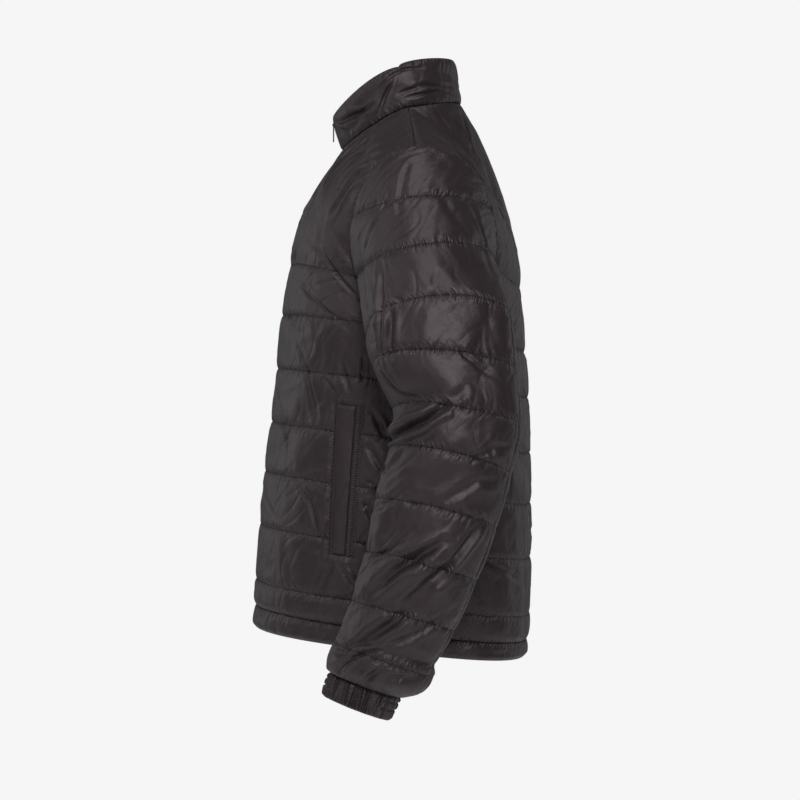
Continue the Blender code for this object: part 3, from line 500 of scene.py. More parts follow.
    def quarter(self, lines: Sequence[BodyLine], front: bool) -> Array:
        """Rows of a quarter of the body from the lowest line up, out to side seam and armhole.

        Args:
            lines: the level lines.
            front: whether on the front.
        Returns:
            Rows by columns by 3.
        """
        arm = self.arm_edge(front)
        whole = lines is BODY_LINES
        numbers = smooth_rows(lines)
        side_rows = len(numbers) - 1 - (self.underarm_steps * UP if whole else 0)
        rows = []
        for k, values in enumerate(numbers):
            climbed = k - side_rows if whole else 0
            y_end = arm[climbed][1] if climbed > 0 else self.side_y
            shares = self.front_shares(values[0]) if front else self.back_shares()
            row = self.section(values, front, y_end, shares)
            if climbed >= 0 and whole:
                row = row + (arm[climbed] - row[-1]) * shares[:, None] ** 3
            rows.append(row)
        return np.array(rows)

    def yoke(self, lower: Array, neck: Array, handles: tuple[Place, Place], end: Place,
             front: bool) -> Array:
        """The part of a front or back above the armhole's lower seam, over its lower rows.

        Args:
            lower: the rows below.
            neck: the neck edge.
            handles: middle corners of the centre edge's curve.
            end: upper end of that edge.
            front: whether on the front.
        Returns:
            Rows by columns by 3.
        """
        top = np.vstack((neck, self.shoulder_seam()[1:]))
        arm = self.arm_edge(front)[self.underarm_steps * UP:]
        rise = np.linspace(0, 1, len(arm))
        edge = bezier((tuple(lower[-1, 0]), *handles, end), rise)
        shares = self.front_shares(BODY_LINES[-1].level) if front else self.back_shares()
        fullness = 1.0 if front else self.back_yoke_fullness
        upper = coons(lower[-1], top, edge, arm, shares, rise, fullness, self.corner_columns)
        return np.vstack((lower, upper[1:]))

    def front(self) -> Array:
        """Left front, its columns from the zip to the side.

        Returns:
            Rows by columns by 3.
        """
        neck = self.ring_quarter(self.neck_front, self.neck_side, self.neck_front_columns)
        return self.yoke(self.quarter(BODY_LINES, True), neck, self.front_handles,
                         self.neck_front, True)

    def back_half(self) -> Array:
        """Left half of the back, its columns from the centre line to the side.

        Returns:
            Rows by columns by 3.
        """
        neck = self.ring_quarter(self.neck_back, self.neck_side, self.neck_back_columns)
        return self.yoke(self.quarter(BODY_LINES, False), neck, self.back_handles,
                         self.neck_back, False)

    @staticmethod
    def whole_back(half: Array) -> Array:
        """Back from the left side seam to the right one, from its left half."""
        return np.hstack((half[:, ::-1], mirrored(half)[:, ::-1][:, 1:]))

    def collar(self) -> Array:
        """Stand collar from the left front edge round the back to the right front edge.

        Returns:
            Rows by columns by 3.
        """
        front, back = self.neck_front_columns, self.neck_back_columns
        low = np.vstack((self.ring_quarter(self.neck_front, self.neck_side, front),
                         self.ring_quarter(self.neck_back, self.neck_side, back)[::-1][1:]))
        high = np.vstack((
            self.ring_quarter(self.collar_front, self.collar_side, front, 1.5),
            self.ring_quarter(self.collar_back, self.collar_side, back, 0.5)[::-1][1:]))
        t = np.linspace(0, 1, self.collar_steps * UP + 1)[:, None, None]
        left = (1 - t) * low[None] + t * high[None]
        return np.hstack((left, mirrored(left)[:, 1:]))

    @staticmethod
    def ring(vectors: Array, start: float, end: float, columns: int) -> Array:
        """Points round an elliptical ring between two angles, evenly spaced by length.

        Args:
            vectors: the ring's nine numbers.
            start, end: angles in degrees.
            columns: steps between them.
        Returns:
            One point a row.
        """
        a = np.radians(np.linspace(start, end, RING_POINTS))[:, None]
        points = vectors[0:3] - np.cos(a) * vectors[3:6] + np.sin(a) * vectors[6:9]
        return spread(points, np.linspace(0, 1, columns + 1))

    def sleeve_rings(self) -> Array:
        """Rows of ring vectors up the sleeve, its end swollen over the cuff.

        Returns:
            Nine numbers a row.
        """
        vectors = smooth_rows(SLEEVE_LINES)
        last = len(self.end_growth) - 1
        place = np.arange(last * UP + 1) / UP
        low = np.minimum(place.astype(int), last - 1)
        part = smooth_step(place - low)
        rear, grow = (((1 - part) * np.array(table)[low] + part * np.array(table)[low + 1])[:, None]
                      for table in (self.end_rearward, self.end_growth))
        end = vectors[:len(place)]
        depth_way, breadth_way = unit(end[:, 3:6]), unit(end[:, 6:9])
        end[:, 0:3] += depth_way * rear
        end[:, 3:6] += depth_way * grow
        end[:, 6:9] += breadth_way * grow
        return vectors

    def tube(self, start: float, end: float, columns: int) -> Array:
        """Half of the sleeve between two angles, up to the underarm's lower line."""
        return np.array([self.ring(v, start, end, columns) for v in self.sleeve_rings()])

    def channel(self, low: Array, high: Array) -> Array:
        """Rows of the sleeve's last whole channel between two lines, the first left out."""
        t = np.append(eased(self.channel_steps * UP), 1.0)[1:, None, None]
        return (1 - t) * low[None] + t * high[None]

    def upper_sleeve(self) -> Array:
        """Outer half of the left sleeve from the cuff to the top of the cap.

        Returns:
            Rows by columns by 3.
        """
        columns = 2 * self.cap_top_steps * ACROSS
        tube = self.tube(self.sleeve_front_seam, self.sleeve_rear_seam, columns)
        arm_front, arm_rear = self.arm_edge(True), self.arm_edge(False)
        low, high = self.underarm_steps * UP, (self.underarm_steps + self.cap_edge_steps) * UP
        middle = (arm_front[low] + arm_rear[low]) / 2
        crown = np.array(self.cap_crown, float)
        line_2 = self.ring(np.concatenate((middle, (arm_rear[low] - arm_front[low]) / 2,
                                           crown - middle)), 0, 180, columns)
        top = np.vstack((arm_front[high:], arm_rear[high:][::-1][1:]))
        shares = np.linspace(0, 1, columns + 1)
        rise = np.linspace(0, 1, self.cap_edge_steps * UP + 1)
        cap = coons(line_2, top, arm_front[low:high + 1], arm_rear[low:high + 1], shares, rise)
        bulge = np.sin(math.pi * rise)[:, None] * np.abs(np.sin(math.pi * shares))[None] ** 0.8
        cap = cap + bulge[:, :, None] * np.array(self.cap_bulge)
        return np.vstack((tube, self.channel(tube[-1], line_2), cap[1:]))

    def under_sleeve(self) -> Array:
        """Half of the left sleeve that faces the body, from the cuff to the underarm.

        Returns:
            Rows by columns by 3.
        """
        columns = 2 * self.underarm_steps * ACROSS
        tube = self.tube(self.sleeve_rear_seam, self.sleeve_front_seam + 360, columns)
        low = self.underarm_steps * UP
        seam = np.vstack((self.arm_edge(False)[low::-1], self.arm_edge(True)[1:low + 1]))
        top = spread(seam, np.linspace(0, 1, columns + 1))
        return np.vstack((tube, self.channel(tube[-1], top)))


# ======== uneven heights
def ripple(places: Array, wavelength: float, seed: int) -> Array:
    """Smooth random heights from -1 to 1 along a line, one free value every wavelength.

    Args:
        places: distances along the line.
        wavelength: distance between free values.
        seed: choice of them.
    Returns:
        One height a place.
    """
    table = np.random.default_rng(seed).uniform(-1, 1, 1024)
    x = places / wavelength
    low = np.floor(x).astype(int)
    t = x - low
    a, b, c, d = (table[(low + k) % 1024] for k in (-1, 0, 1, 2))
    return b + 0.5 * t * (c - a + t * (2 * a - 5 * b + 4 * c - d + t * (3 * (b - c) + d - a)))


def mottle(u: Array, v: Array, wavelength: float, seed: int) -> Array:
    """Smooth random heights from -1 to 1 over a surface, blended between lattice values.

    Args:
        u, v: places on the surface.
        wavelength: size of a lattice cell.
        seed: choice of its values.
    Returns:
        One height a place.
    """
    table = np.random.default_rng(seed).uniform(-1, 1, (64, 64))
    low_u, low_v = np.floor(u / wavelength).astype(int), np.floor(v / wavelength).astype(int)
    s, t = smooth_step(u / wavelength - low_u), smooth_step(v / wavelength - low_v)
    a, b = table[low_v % 64, low_u % 64], table[low_v % 64, (low_u + 1) % 64]
    c, d = table[(low_v + 1) % 64, low_u % 64], table[(low_v + 1) % 64, (low_u + 1) % 64]
    return (1 - t) * ((1 - s) * a + s * b) + t * ((1 - s) * c + s * d)


def crumple(u: Array, v: Array, wavelength: float, seed: int, lean: float = 0.6) -> Array:
    """Faceted random heights from -1 to 1, drawn out along a diagonal.

    They are one less twice the size of a mottled height, so they have ridges where it passes
    zero. The places are turned by the lean in radians and stretched along it.
    Args:
        u, v: places on the surface.
        wavelength: size of a facet.
        seed: choice of the heights.
        lean: direction of the ridges.
    Returns:
        One height a place.
    """
    wander = 0.5 * wavelength * mottle(u, v, 2.1 * wavelength, seed + 1)
    along = (u * math.cos(lean) + v * math.sin(lean) + wander) / 2.0
    across = v * math.cos(lean) - u * math.sin(lean) + wander
    return 1 - 3.2 * np.abs(mottle(along, across, wavelength, seed))


def puckers(along: Array, off: Array, size: float, reach: float, seed: int) -> Array:
    """Sharp little valleys that run out from a line of sewing and die away.

    A valley lies wherever a random ripple passes zero. It leans a little, starts just off the
    sewing, and fades as an exponential of the distance, over a reach that changes along the line.
    Args:
        along: distance along the sewing.
        off: distance from it.
        size: depth of the valleys.
        reach: distance over which they fade.
        seed: choice of the random ripples.
    Returns:
        Heights, all of them 0 or less.
    """
    place = along + off * 0.75 * ripple(along, 48, seed + 1)
    fine = (1 - np.minimum(1, np.abs(ripple(place, 4.6, seed)) * 2.0)) ** 1.3
    broad = 1 - np.minimum(1, np.abs(ripple(place, 13.0, seed + 2)) * 1.8)
    far = reach * (0.75 + 0.65 * ripple(along, 17, seed + 3))
    strength = np.maximum(0.15, 0.8 + 0.7 * ripple(along, 31, seed + 4))
    start = off / (off + 0.9)
    return -size * strength * start * (fine * np.exp(-off / far)
                                       + 0.8 * broad * np.exp(-off / (2.3 * far)))


@dataclass(frozen=True)
class Crease:
    """One crease in the cloth.

    The path's places are shares of the panel's width and height. Sizes are in millimetres, and a
    negative height is a trough. The lips stand up beside a trough, as a share of its depth.
    """

    path: tuple[tuple[float, float], ...]
    height: float
    width: float
    lip: float

    def moved(self, across: float, up: float, factor: float) -> Crease:
        """The same crease a little further along the panel, with another height.

        Args:
            across, up: the move, as shares of the panel.
            factor: what the height is multiplied by.
        Returns:
            The moved crease.
        """
        path = tuple((min(0.99, max(0.01, a + across)), min(0.99, max(0.01, b + up)))
                     for a, b in self.path)
        return Crease(path, self.height * factor, self.width, self.lip)

    def mirrored(self) -> Crease:
        """The same crease on the other half of a panel that crosses the middle."""
        return Crease(tuple((1 - a, b) for a, b in self.path), self.height, self.width, self.lip)

    def places(self, u: Array, v: Array) -> list[Array]:
        """The path's places in millimetres, from the distances along and up the panel's grid.

        Args:
            u, v: distances along and up the panel's grid.
        Returns:
            The places.
        """
        rows, columns = u.shape[0] - 1, u.shape[1] - 1
        spots = [(int(round(up * rows)), int(round(across * columns))) for across, up in self.path]
        return [np.array([u[spot], v[spot]]) for spot in spots]


@dataclass
class Relief:
    """Height of the cloth over its grid, in millimetres: padding, puckers and creases.

    The seed chooses the panel's random ripples. A channel is filled to a level share of its puff
    and arched over that.
    """

    grid: Array
    seed: int
    level: float = 0.86
    groove: float = 1.5
    groove_reach: float = 2.0
    lumps: float = 0.8
    room: float = 9.0
    crease_depth: float = 1.35
    crease_width: float = 0.72
    sink_reach: float = 1.5

    def __post_init__(self) -> None:
        """Measures the grid."""
        self.u, self.v = grid_lengths(self.grid)
        self.height = np.zeros(self.u.shape)
        self.near = np.full(self.u.shape, FAR)
        self.along = self.u.copy()
        self.away = {"left": self.u, "right": self.u[:, -1:] - self.u,
                     "bottom": self.v, "top": self.v[-1:] - self.v}

    def mark(self, off: Array, along: Array, rows: slice = slice(None)) -> None:
        """Keeps the distance to the nearest sewing, and the place along it, at each point.

        Args:
            off: distance to a line of sewing.
            along: place along it.
            rows: the rows that these are given for.
        """
        closer = off < self.near[rows]
        self.near[rows] = np.where(closer, off, self.near[rows])
        self.along[rows] = np.where(closer, along, self.along[rows])

    def panel(self, name: str, group: str, wall: float, side: Side = Side.LEFT) -> Panel:
        """The panel that this relief makes, on its own side of the jacket.

        Args:
            name: the piece's name.
            group: which pieces it shares directions with.
            wall: depth of its wall.
            side: the wearer's side.
        Returns:
            The panel.
        """
        grid, height = self.grid, self.height
        sewing = np.stack((self.along, self.near), axis=-1)
        if side is Side.RIGHT:
            grid, height, sewing = mirrored(grid), height[:, ::-1], sewing[:, ::-1]
        return Panel(name, group, grid, height, wall, sewing=sewing)

    def spots(self, wavelength: float, number: int = 0) -> Array:
        """Mottled heights from -1 to 1 all over the panel."""
        return mottle(self.u, self.v, wavelength, self.seed + number)

    def facets(self, wavelength: float, number: int = 1, lean: float = 0.6) -> Array:
        """Faceted heights from -1 to 1 all over the panel."""
        return crumple(self.u, self.v, wavelength, self.seed + number, lean)

    def pad(self, lines: Sequence[int], puff: Array, size: float = 1.7,
            reach: float = 5.5) -> None:
        """Fills the channels between stitch rows and puckers the cloth along each row.

        The padding stands nearly level between its stitch rows: a low arch, with a narrow groove
        that dies away exponentially on both sides of each row.
        Args:
            lines: grid rows of the stitch lines.
            puff: height of the padding at each column.
            size: depth of the puckers.
            reach: how far they run.
        """
        for number, (low, high) in enumerate(zip(lines[:-1], lines[1:])):
            rows = slice(low, high if number < len(lines) - 2 else high + 1)
            u, v = self.u[low:high + 1], self.v[low:high + 1]
            below, above = v - v[0], v[-1] - v
            t = below / np.maximum(below + above, TINY)
            seed = self.seed + 40 * number
            full = puff[None] / max(float(puff.max()), TINY)
            arch = np.clip(4 * t * (1 - t), 0, 1) ** 0.7
            filling = 0.16 * ripple(u, 38, seed + 7) + 0.10 * ripple(u, 15, seed + 8)
            near = np.minimum(below, above)
            self.mark(near, u, slice(low, high + 1))
            height = puff[None] * (self.level + (0.14 + self.lumps * filling) * arch)
            height -= full * self.groove * np.exp(-near / self.groove_reach)
            height += full ** 0.5 * (puckers(u, below, size, reach, seed + 11)
                                     + puckers(u, above, size, reach, seed + 21))
            room = np.clip(near / self.room, 0, 1)
            height += full * room * (0.45 * crumple(u, v, 17, seed + 31)
                                     + 0.55 * mottle(u, v, 30, seed + 32))
            self.height[rows] += height[:rows.stop - low]

    def edge_puckers(self, side: str, size: float, reach: float, rows: slice = slice(None)
                     ) -> None:
        """Puckers that run in from one of the panel's seams.

        Args:
            side: left, right, top or bottom.
            size: depth of the puckers.
            reach: how far they run.
            rows: the part of a left or right edge that has them.
        """
        seed = self.seed + {"left": 501, "right": 541, "top": 581, "bottom": 621}[side]
        along = self.v if side in ("left", "right") else self.u
        self.height[rows] += puckers(along, self.away[side], size, reach, seed)[rows]

    def crease(self, creases: Sequence[Crease], edge: float = 14.0) -> None:
        """Presses creases into the cloth.

        A crease is a bell curve of the distance from its path, thinner towards both ends, with a
        wider and lower bell of the other sign as its lips.
        Args:
            creases: the creases.
            edge: distance from the seams over which they fade out.
        """
        total = np.zeros(self.u.shape)
        for number, crease in enumerate(creases):
            ends = crease.places(self.u, self.v)
            lengths = [float(np.linalg.norm(b - a)) for a, b in zip(ends[:-1], ends[1:])]
            whole, done = max(sum(lengths), TINY), 0.0
            best = np.full(self.u.shape, np.inf)
            along = np.zeros(self.u.shape)
            for start, end, length in zip(ends[:-1], ends[1:], lengths):
                run = (end - start) / max(length, TINY)
                du, dv = self.u - start[0], self.v - start[1]
                share = np.clip(du * run[0] + dv * run[1], 0, length)
                off = np.hypot(du - share * run[0], dv - share * run[1])
                along = np.where(off < best, (done + share) / whole, along)
                best = np.minimum(best, off)
                done += length
            wander = ripple(along * whole, 18, self.seed + 700 + number)
            width = self.crease_width * crease.width * (1 + 0.25 * wander)
            taper = np.sin(math.pi * np.clip(along * 0.92 + 0.04, 0, 1)) ** 0.6
            bell = np.exp(-(best / width) ** 2)
            lips = np.exp(-((best - 1.9 * width) / width) ** 2)
            total += crease.height * self.crease_depth * taper * (bell - crease.lip * lips)
        self.height += total * self.near_edge(edge)

    def near_edge(self, reach: float) -> Array:
        """0 on the panel's edges, rising to 1 at a distance from them."""
        return np.clip(np.minimum.reduce(list(self.away.values())) / reach, 0, 1)

    def settle(self, reach: float, lifts: dict[str, Array | float], sink: float = 0.6) -> None:
        """Brings the cloth down to its seams.

        Near each edge the height changes smoothly to that edge's own, and a narrow groove of the
        sink's depth runs along the edge.
        Args:
            reach: distance over which it comes down.
            lifts: height of each named edge, at each of its points. The others keep their cloth.
            sink: depth of the groove.
        """
        shares = {side: eased_in(np.clip(self.away[side] / reach, 0, 1)) for side in lifts}
        total = self.height * math.prod(shares.values())
        off = np.full(self.u.shape, np.inf)
        for side, lift in lifts.items():
            upright = side in ("left", "right")
            others = math.prod(share for other, share in shares.items() if other != side)
            along = np.asarray(lift, float)
            if along.ndim:
                along = along[:, None] if upright else along[None]
            total += (1 - shares[side]) * others * along
            off = np.minimum(off, self.away[side])
            self.mark(self.away[side], self.v if upright else self.u)
        self.height = total - sink * np.exp(-off / self.sink_reach)


def window(count: int, end: int | None = None, power: float = 0.25) -> Array:
    """Values that rise fast from 0 to 1 and fall back to 0 at the end, as a power of a sine.

    Args:
        count: how many values.
        end: number of the value that is 0 again, or the last one's.
        power: under 1 rises faster.
    Returns:
        The values.
    """
    last = count - 1 if end is None else end
    share = np.clip(np.arange(count) / last, 0, 1)
    return np.abs(np.sin(math.pi * share)) ** power


def folded(grid: Array, folds: Sequence[Crease], outward: int = 1) -> Array:
    """The grid with the solid's large creases, a bell curve each, faded out at its edges.

    Args:
        grid: the panel's smooth grid.
        folds: the creases, each on a straight path.
        outward: 1, or -1 where the grid's own directions point inwards.
    Returns:
        The creased grid.
    """
    u, v = grid_lengths(grid)
    total = np.zeros_like(u)
    for fold in folds:
        start, end = fold.places(u, v)
        run = end - start
        share = ((u - start[0]) * run[0] + (v - start[1]) * run[1]) / float(run @ run)
        inside = np.clip(share, 0, 1)
        off = np.hypot(u - start[0] - inside * run[0], v - start[1] - inside * run[1])
        total += fold.height * (0.35 + 0.65 * np.sin(math.pi * inside)) * np.exp(
            -(off / fold.width) ** 2)
    row, column = (np.arange(count) / step for count, step in zip(u.shape, (UP, ACROSS)))
    row_fade, column_fade = (np.clip(np.minimum(place, place[::-1]) / 2.0, 0, 1)
                             for place in (row, column))
    heights = total * row_fade[:, None] * column_fade[None]
    return grid + outward * grid_normals(grid) * heights[..., None]


def creases(*rows: Sequence[float]) -> tuple[Crease, ...]:
    """Creases from rows of numbers.

    Args:
        rows: each a crease's height, width and lip, then the places of its path as percent of the
            panel's width and height, two numbers a place.
    Returns:
        The creases in the same order.
    """
    return tuple(Crease(tuple((a / 100, b / 100) for a, b in zip(row[3::2], row[4::2])), *row[:3])
                 for row in rows)


# -------- creases that the solids have too
SLEEVE_FOLDS = creases(
    (-9, 13, 0, 14, 52, 50, 56),
    (5, 12, 0, 16, 47, 48, 50),
    (-5, 12, 0, 10, 62, 14, 86),
    (-5, 12, 0, 20, 20, 62, 40),
    (4, 14, 0, 34, 14, 80, 34),
    (-4, 11, 0, 12, 10, 55, 20),
    (-4, 13, 0, 74, 55, 86, 72),
)
UNDER_SLEEVE_FOLDS = creases(
    (-4, 13, 0, 60, 50, 95, 54),
    (-3, 13, 0, 20, 25, 70, 38),
)
FRONT_FOLDS = creases(
    (3.5, 14, 0, 20, 97, 62, 66),
    (-3.5, 12, 0, 42, 90, 86, 72),
    (-3, 14, 0, 10, 52, 45, 60),
    (-3, 14, 0, 30, 24, 60, 34),
    (-3, 12, 0, 72, 6, 94, 16),
)
BACK_HALF_FOLDS = creases(
    (-4, 13, 0, 14, 86, 40, 66),
    (3, 13, 0, 78, 96, 50, 74),
    (-3, 14, 0, 55, 40, 90, 47),
    (-3, 14, 0, 20, 22, 55, 30),
)
COLLAR_FOLDS = creases(
    (-3.5, 8, 0, 10, 15, 24, 80),
    (3, 8, 0, 24, 90, 36, 20),
    (-3, 8, 0, 36, 85, 50, 40),
    (-3, 8, 0, 60, 25, 72, 85),
    (-3.5, 8, 0, 78, 80, 90, 20),
)

# -------- finer creases, listed one by one
SLEEVE_CREASES = creases(
    (-7.5, 5.5, 0.5, 4, 45.2, 20, 46, 32, 47.2, 43, 49.4, 54, 53.4),
    (3, 4, 0.3, 30, 44.5, 43, 47.3, 56, 50.6),
    (-1.8, 4, 0.35, 55, 54.4, 64, 56.6),
    (-5.4, 6, 0.6, 33, 18.1, 49, 23.1, 68, 29.7),
    (-4.6, 6.5, 0.6, 52, 15.9, 72, 24.1, 87, 34.4),
    (-4.4, 6, 0.6, 36, 7.5, 58, 14.7, 69, 21.2),
    (-2.4, 4, 0.35, 22, 23.5, 38, 26.2, 50, 30),
    (-3.2, 4.5, 0.5, 30, 79.7, 27, 72.2, 24, 62.5),
    (-3.4, 5, 0.5, 34, 70, 31, 66, 29, 61.5),
    (-2.4, 4.5, 0.35, 18, 60, 26, 56, 36, 54.5),
    (-1.8, 5, 0.35, 62, 64, 74, 60, 86, 59),
    (-1, 9, 0.35, 58, 93, 66, 84, 70, 76),
    (-1.6, 6, 0.35, 76, 90, 80, 82, 86, 76),
    (-1.5, 5, 0.35, 44, 96, 40, 88),
    (-1.6, 4.5, 0.35, 20, 84, 28, 88, 36, 93),
    (-2.2, 5, 0.35, 70, 43, 82, 47, 92, 48),
    (-1.8, 5.5, 0.35, 60, 35, 76, 40, 92, 41),
    (-2.2, 5, 0.35, 8, 40, 20, 39, 34, 42),
    (-2, 5, 0.35, 10, 32, 26, 33, 42, 37),
    (-2.2, 4.5, 0.35, 60, 10, 76, 14, 90, 20),
    (-2.4, 5, 0.35, 20, 4.5, 40, 5.5),
    (-2.6, 5, 0.35, 62, 3.5, 84, 5),
    (-3, 4, 0.6, 34, 2, 44, 6, 56, 8.5),
    (-2.6, 4, 0.6, 56, 2, 62, 5),
)
UNDER_CREASES = creases(
    (-2.4, 5, 0.35, 10, 30, 35, 36, 60, 38),
    (-2.8, 5, 0.35, 30, 46, 60, 52, 90, 55),
    (-2.2, 5, 0.35, 15, 56, 40, 52, 70, 54),
    (-2, 5, 0.35, 40, 16, 70, 20, 92, 24),
    (-1.6, 6, 0.35, 8, 70, 30, 74, 55, 72),
    (-1.6, 5, 0.35, 55, 84, 80, 90),
)
FRONT_CREASES = creases(
    (-2.2, 5, 0.6, 67.5, 87.4, 60, 79, 52.5, 70),
    (-1.5, 5.5, 0.35, 55, 86, 50, 78, 46, 70),
    (-1.8, 4.5, 0.35, 80, 86, 74, 80, 70, 72),
    (-2.2, 4, 0.5, 90, 80, 82, 76, 76, 68),
    (-2.2, 4, 0.5, 95, 72, 86, 70, 78, 64),
    (-2.6, 7, 0.35, 30, 95, 34, 84, 36, 70),
    (-2.4, 7, 0.35, 12, 92, 16, 80, 22, 66),
    (-2, 5.5, 0.35, 42, 97, 45, 86, 44, 76),
    (-1.8, 5, 0.35, 6, 72, 20, 70, 32, 64),
    (-2, 5.5, 0.35, 60, 60, 76, 58, 90, 52),
    (-1.7, 5, 0.35, 48, 52, 62, 49, 70, 44),
    (-2, 5, 0.35, 40, 42, 50, 38, 56, 31),
    (-1.4, 5, 0.35, 28, 48, 36, 44, 44, 42),
    (-1.8, 5.5, 0.35, 22, 34, 34, 30, 42, 25),
    (-1.8, 5, 0.35, 46, 22, 56, 18, 62, 12),
    (-1.5, 5, 0.35, 14, 20, 26, 17, 36, 15),
    (-2, 4, 0.35, 70, 10, 78, 7, 86, 6),
    (-1.4, 6, 0.35, 10, 60, 22, 57, 32, 58),
    (-2.2, 4, 0.6, 80, 32.5, 86, 29),
    (-2.4, 4, 0.6, 79, 27.5, 85, 24.5, 90, 24),
    (-2, 3.5, 0.6, 80, 23, 86, 20.5),
    (-2.4, 4, 0.6, 79, 19, 84, 16, 88, 15.5),
    (-2, 3.5, 0.6, 79, 14, 84, 11.5),
    (-2.4, 4, 0.6, 75, 10, 81, 7, 87, 7.5),
    (-2, 3.5, 0.5, 70, 35, 66, 40),
    (-2, 3.5, 0.5, 74, 35, 76, 40.5),
    (-1.8, 3.5, 0.5, 67, 34, 59, 36.5),
    (-1.8, 3.5, 0.5, 67, 10, 62, 7),
)
BACK_HALF_CREASES = creases(
    (-1.8, 4.5, 0.35, 38.5, 96.2, 38, 90, 38, 84.4),
    (-1.5, 4, 0.35, 44, 97.5, 40, 91, 36.5, 86.5),
    (-1.3, 4.5, 0.35, 34, 97, 33, 90, 34, 83),
    (-1.8, 5, 0.35, 26, 93, 24, 86, 22, 78),
    (-2.2, 4.5, 0.5, 18, 88, 16, 80, 15, 72),
    (-2.4, 4, 0.5, 10, 80, 12, 74, 16, 66),
    (-2, 4.5, 0.35, 6, 70, 12, 66, 20, 62),
    (-1.6, 5.5, 0.35, 22, 70, 28, 64, 36, 60),
    (-1.8, 5, 0.35, 6, 50, 14, 47, 24, 46),
    (-1.5, 5.5, 0.35, 26, 40, 34, 36, 42, 35),
    (-1.8, 5, 0.35, 8, 34, 18, 32, 26, 28),
    (-1.5, 5, 0.35, 30, 20, 38, 17, 46, 17),
    (-1.6, 5, 0.35, 10, 14, 20, 11, 28, 10),
)
COLLAR_CREASES = creases(
    (-3, 4, 0.5, 5, 72, 8, 60, 14, 48, 21, 38),
    (-2, 3, 0.4, 7, 48, 10.5, 20),
    (-2, 3.2, 0.5, 23.5, 62, 27, 80, 31, 86, 35, 80),
    (-2.2, 3.4, 0.5, 28, 70, 24, 40, 21.5, 13),
    (-2, 3.2, 0.5, 28.5, 33.3, 34.5, 41.7, 42, 33.3),
    (-1.8, 3, 0.5, 31, 21.7, 38, 28.3, 45, 13.3),
    (-1.6, 4, 0.35, 50, 30, 56, 55, 60, 80),
    (-1.8, 3.6, 0.35, 62, 25, 68, 45, 72, 80),
    (-2, 3.4, 0.35, 74, 70, 78, 45, 80, 20),
    (-2.4, 3.8, 0.35, 84, 45, 90, 60, 94, 72),
    (-1.6, 3, 0.35, 90, 20, 93, 45),
)
HEM_CREASES = creases(
    (-0.9, 6, 0.35, 15, 40, 30, 60),
    (-1, 5, 0.35, 55, 35, 66, 65),
    (-0.9, 5, 0.35, 80, 60, 90, 30),
)


# ======== meshes
def build_mesh(name: str, points: Array, groups: Sequence[tuple[Array, int, bool]],
               finishes: Sequence[bpy.types.Material], maps: dict[str, Array] | None = None
               ) -> bpy.types.Object:
    """An object made from whole arrays.

    Args:
        name: the object's name.
        points: its points in millimetres.
        groups: faces of one corner count each, with their finish's number and smoothness.
        finishes: its materials.
        maps: UV maps by name, a place in millimetres for each point.
    Returns:
        The object, linked to the scene.
    """
    corners = np.concatenate([faces.ravel() for faces, _, _ in groups]).astype(np.int32)
    sizes = np.concatenate([np.full(len(f), f.shape[1]) for f, _, _ in groups])
    mesh = bpy.data.meshes.new(name)
    mesh.vertices.add(len(points))
    mesh.vertices.foreach_set("co", (points * MM).astype(np.float32).ravel())
    mesh.loops.add(len(corners))
    mesh.loops.foreach_set("vertex_index", corners)
    mesh.polygons.add(len(sizes))
    starts = np.concatenate(([0], np.cumsum(sizes)[:-1])).astype(np.int32)
    mesh.polygons.foreach_set("loop_start", starts)
    finish = np.concatenate([np.full(len(f), number) for f, number, _ in groups])
    smooth = np.concatenate([np.full(len(f), soft) for f, _, soft in groups])
    for made in finishes:
        mesh.materials.append(made)
    mesh.update(calc_edges=True)
    mesh.polygons.foreach_set("material_index", finish.astype(np.int32))
    mesh.polygons.foreach_set("use_smooth", smooth)
    for key, places in (maps or {}).items():
        layer = mesh.uv_layers.new(name=key)
        layer.data.foreach_set("uv", (places[corners] * MM).astype(np.float32).ravel())
    mesh.update()
    made_object = bpy.data.objects.new(name, mesh)
    bpy.context.scene.collection.objects.link(made_object)
    return made_object


def quads(rows: int, columns: int, start: int = 0, closed: bool = False,
          turned: bool = False) -> Array:
    """Faces of a grid whose columns by rows-up cross product points out.

    Args:
        rows, columns: size of the grid.
        start: number of its first point.
        closed: whether the last column joins the first.
        turned: whether the faces look the other way.
    Returns:
        One face of four corners a row.
    """
    number = start + np.arange(rows * columns).reshape(rows, columns)
    if closed:
        number = np.hstack((number, number[:, :1]))
    faces = np.stack((number[:-1, :-1], number[:-1, 1:], number[1:, 1:], number[1:, :-1]),
                     axis=-1).reshape(-1, 4)
    return faces[:, ::-1] if turned else faces


def join_parts(parts: Sequence[Shape]) -> Shape:
    """Several sets of points and four-cornered faces as one.

    Args:
        parts: points and faces of each set.
    Returns:
        All the points and all the faces.
    """
    starts = np.cumsum([0] + [len(points) for points, _ in parts[:-1]])
    return (np.vstack([points for points, _ in parts]),
            np.vstack([faces + start for (_, faces), start in zip(parts, starts)]))


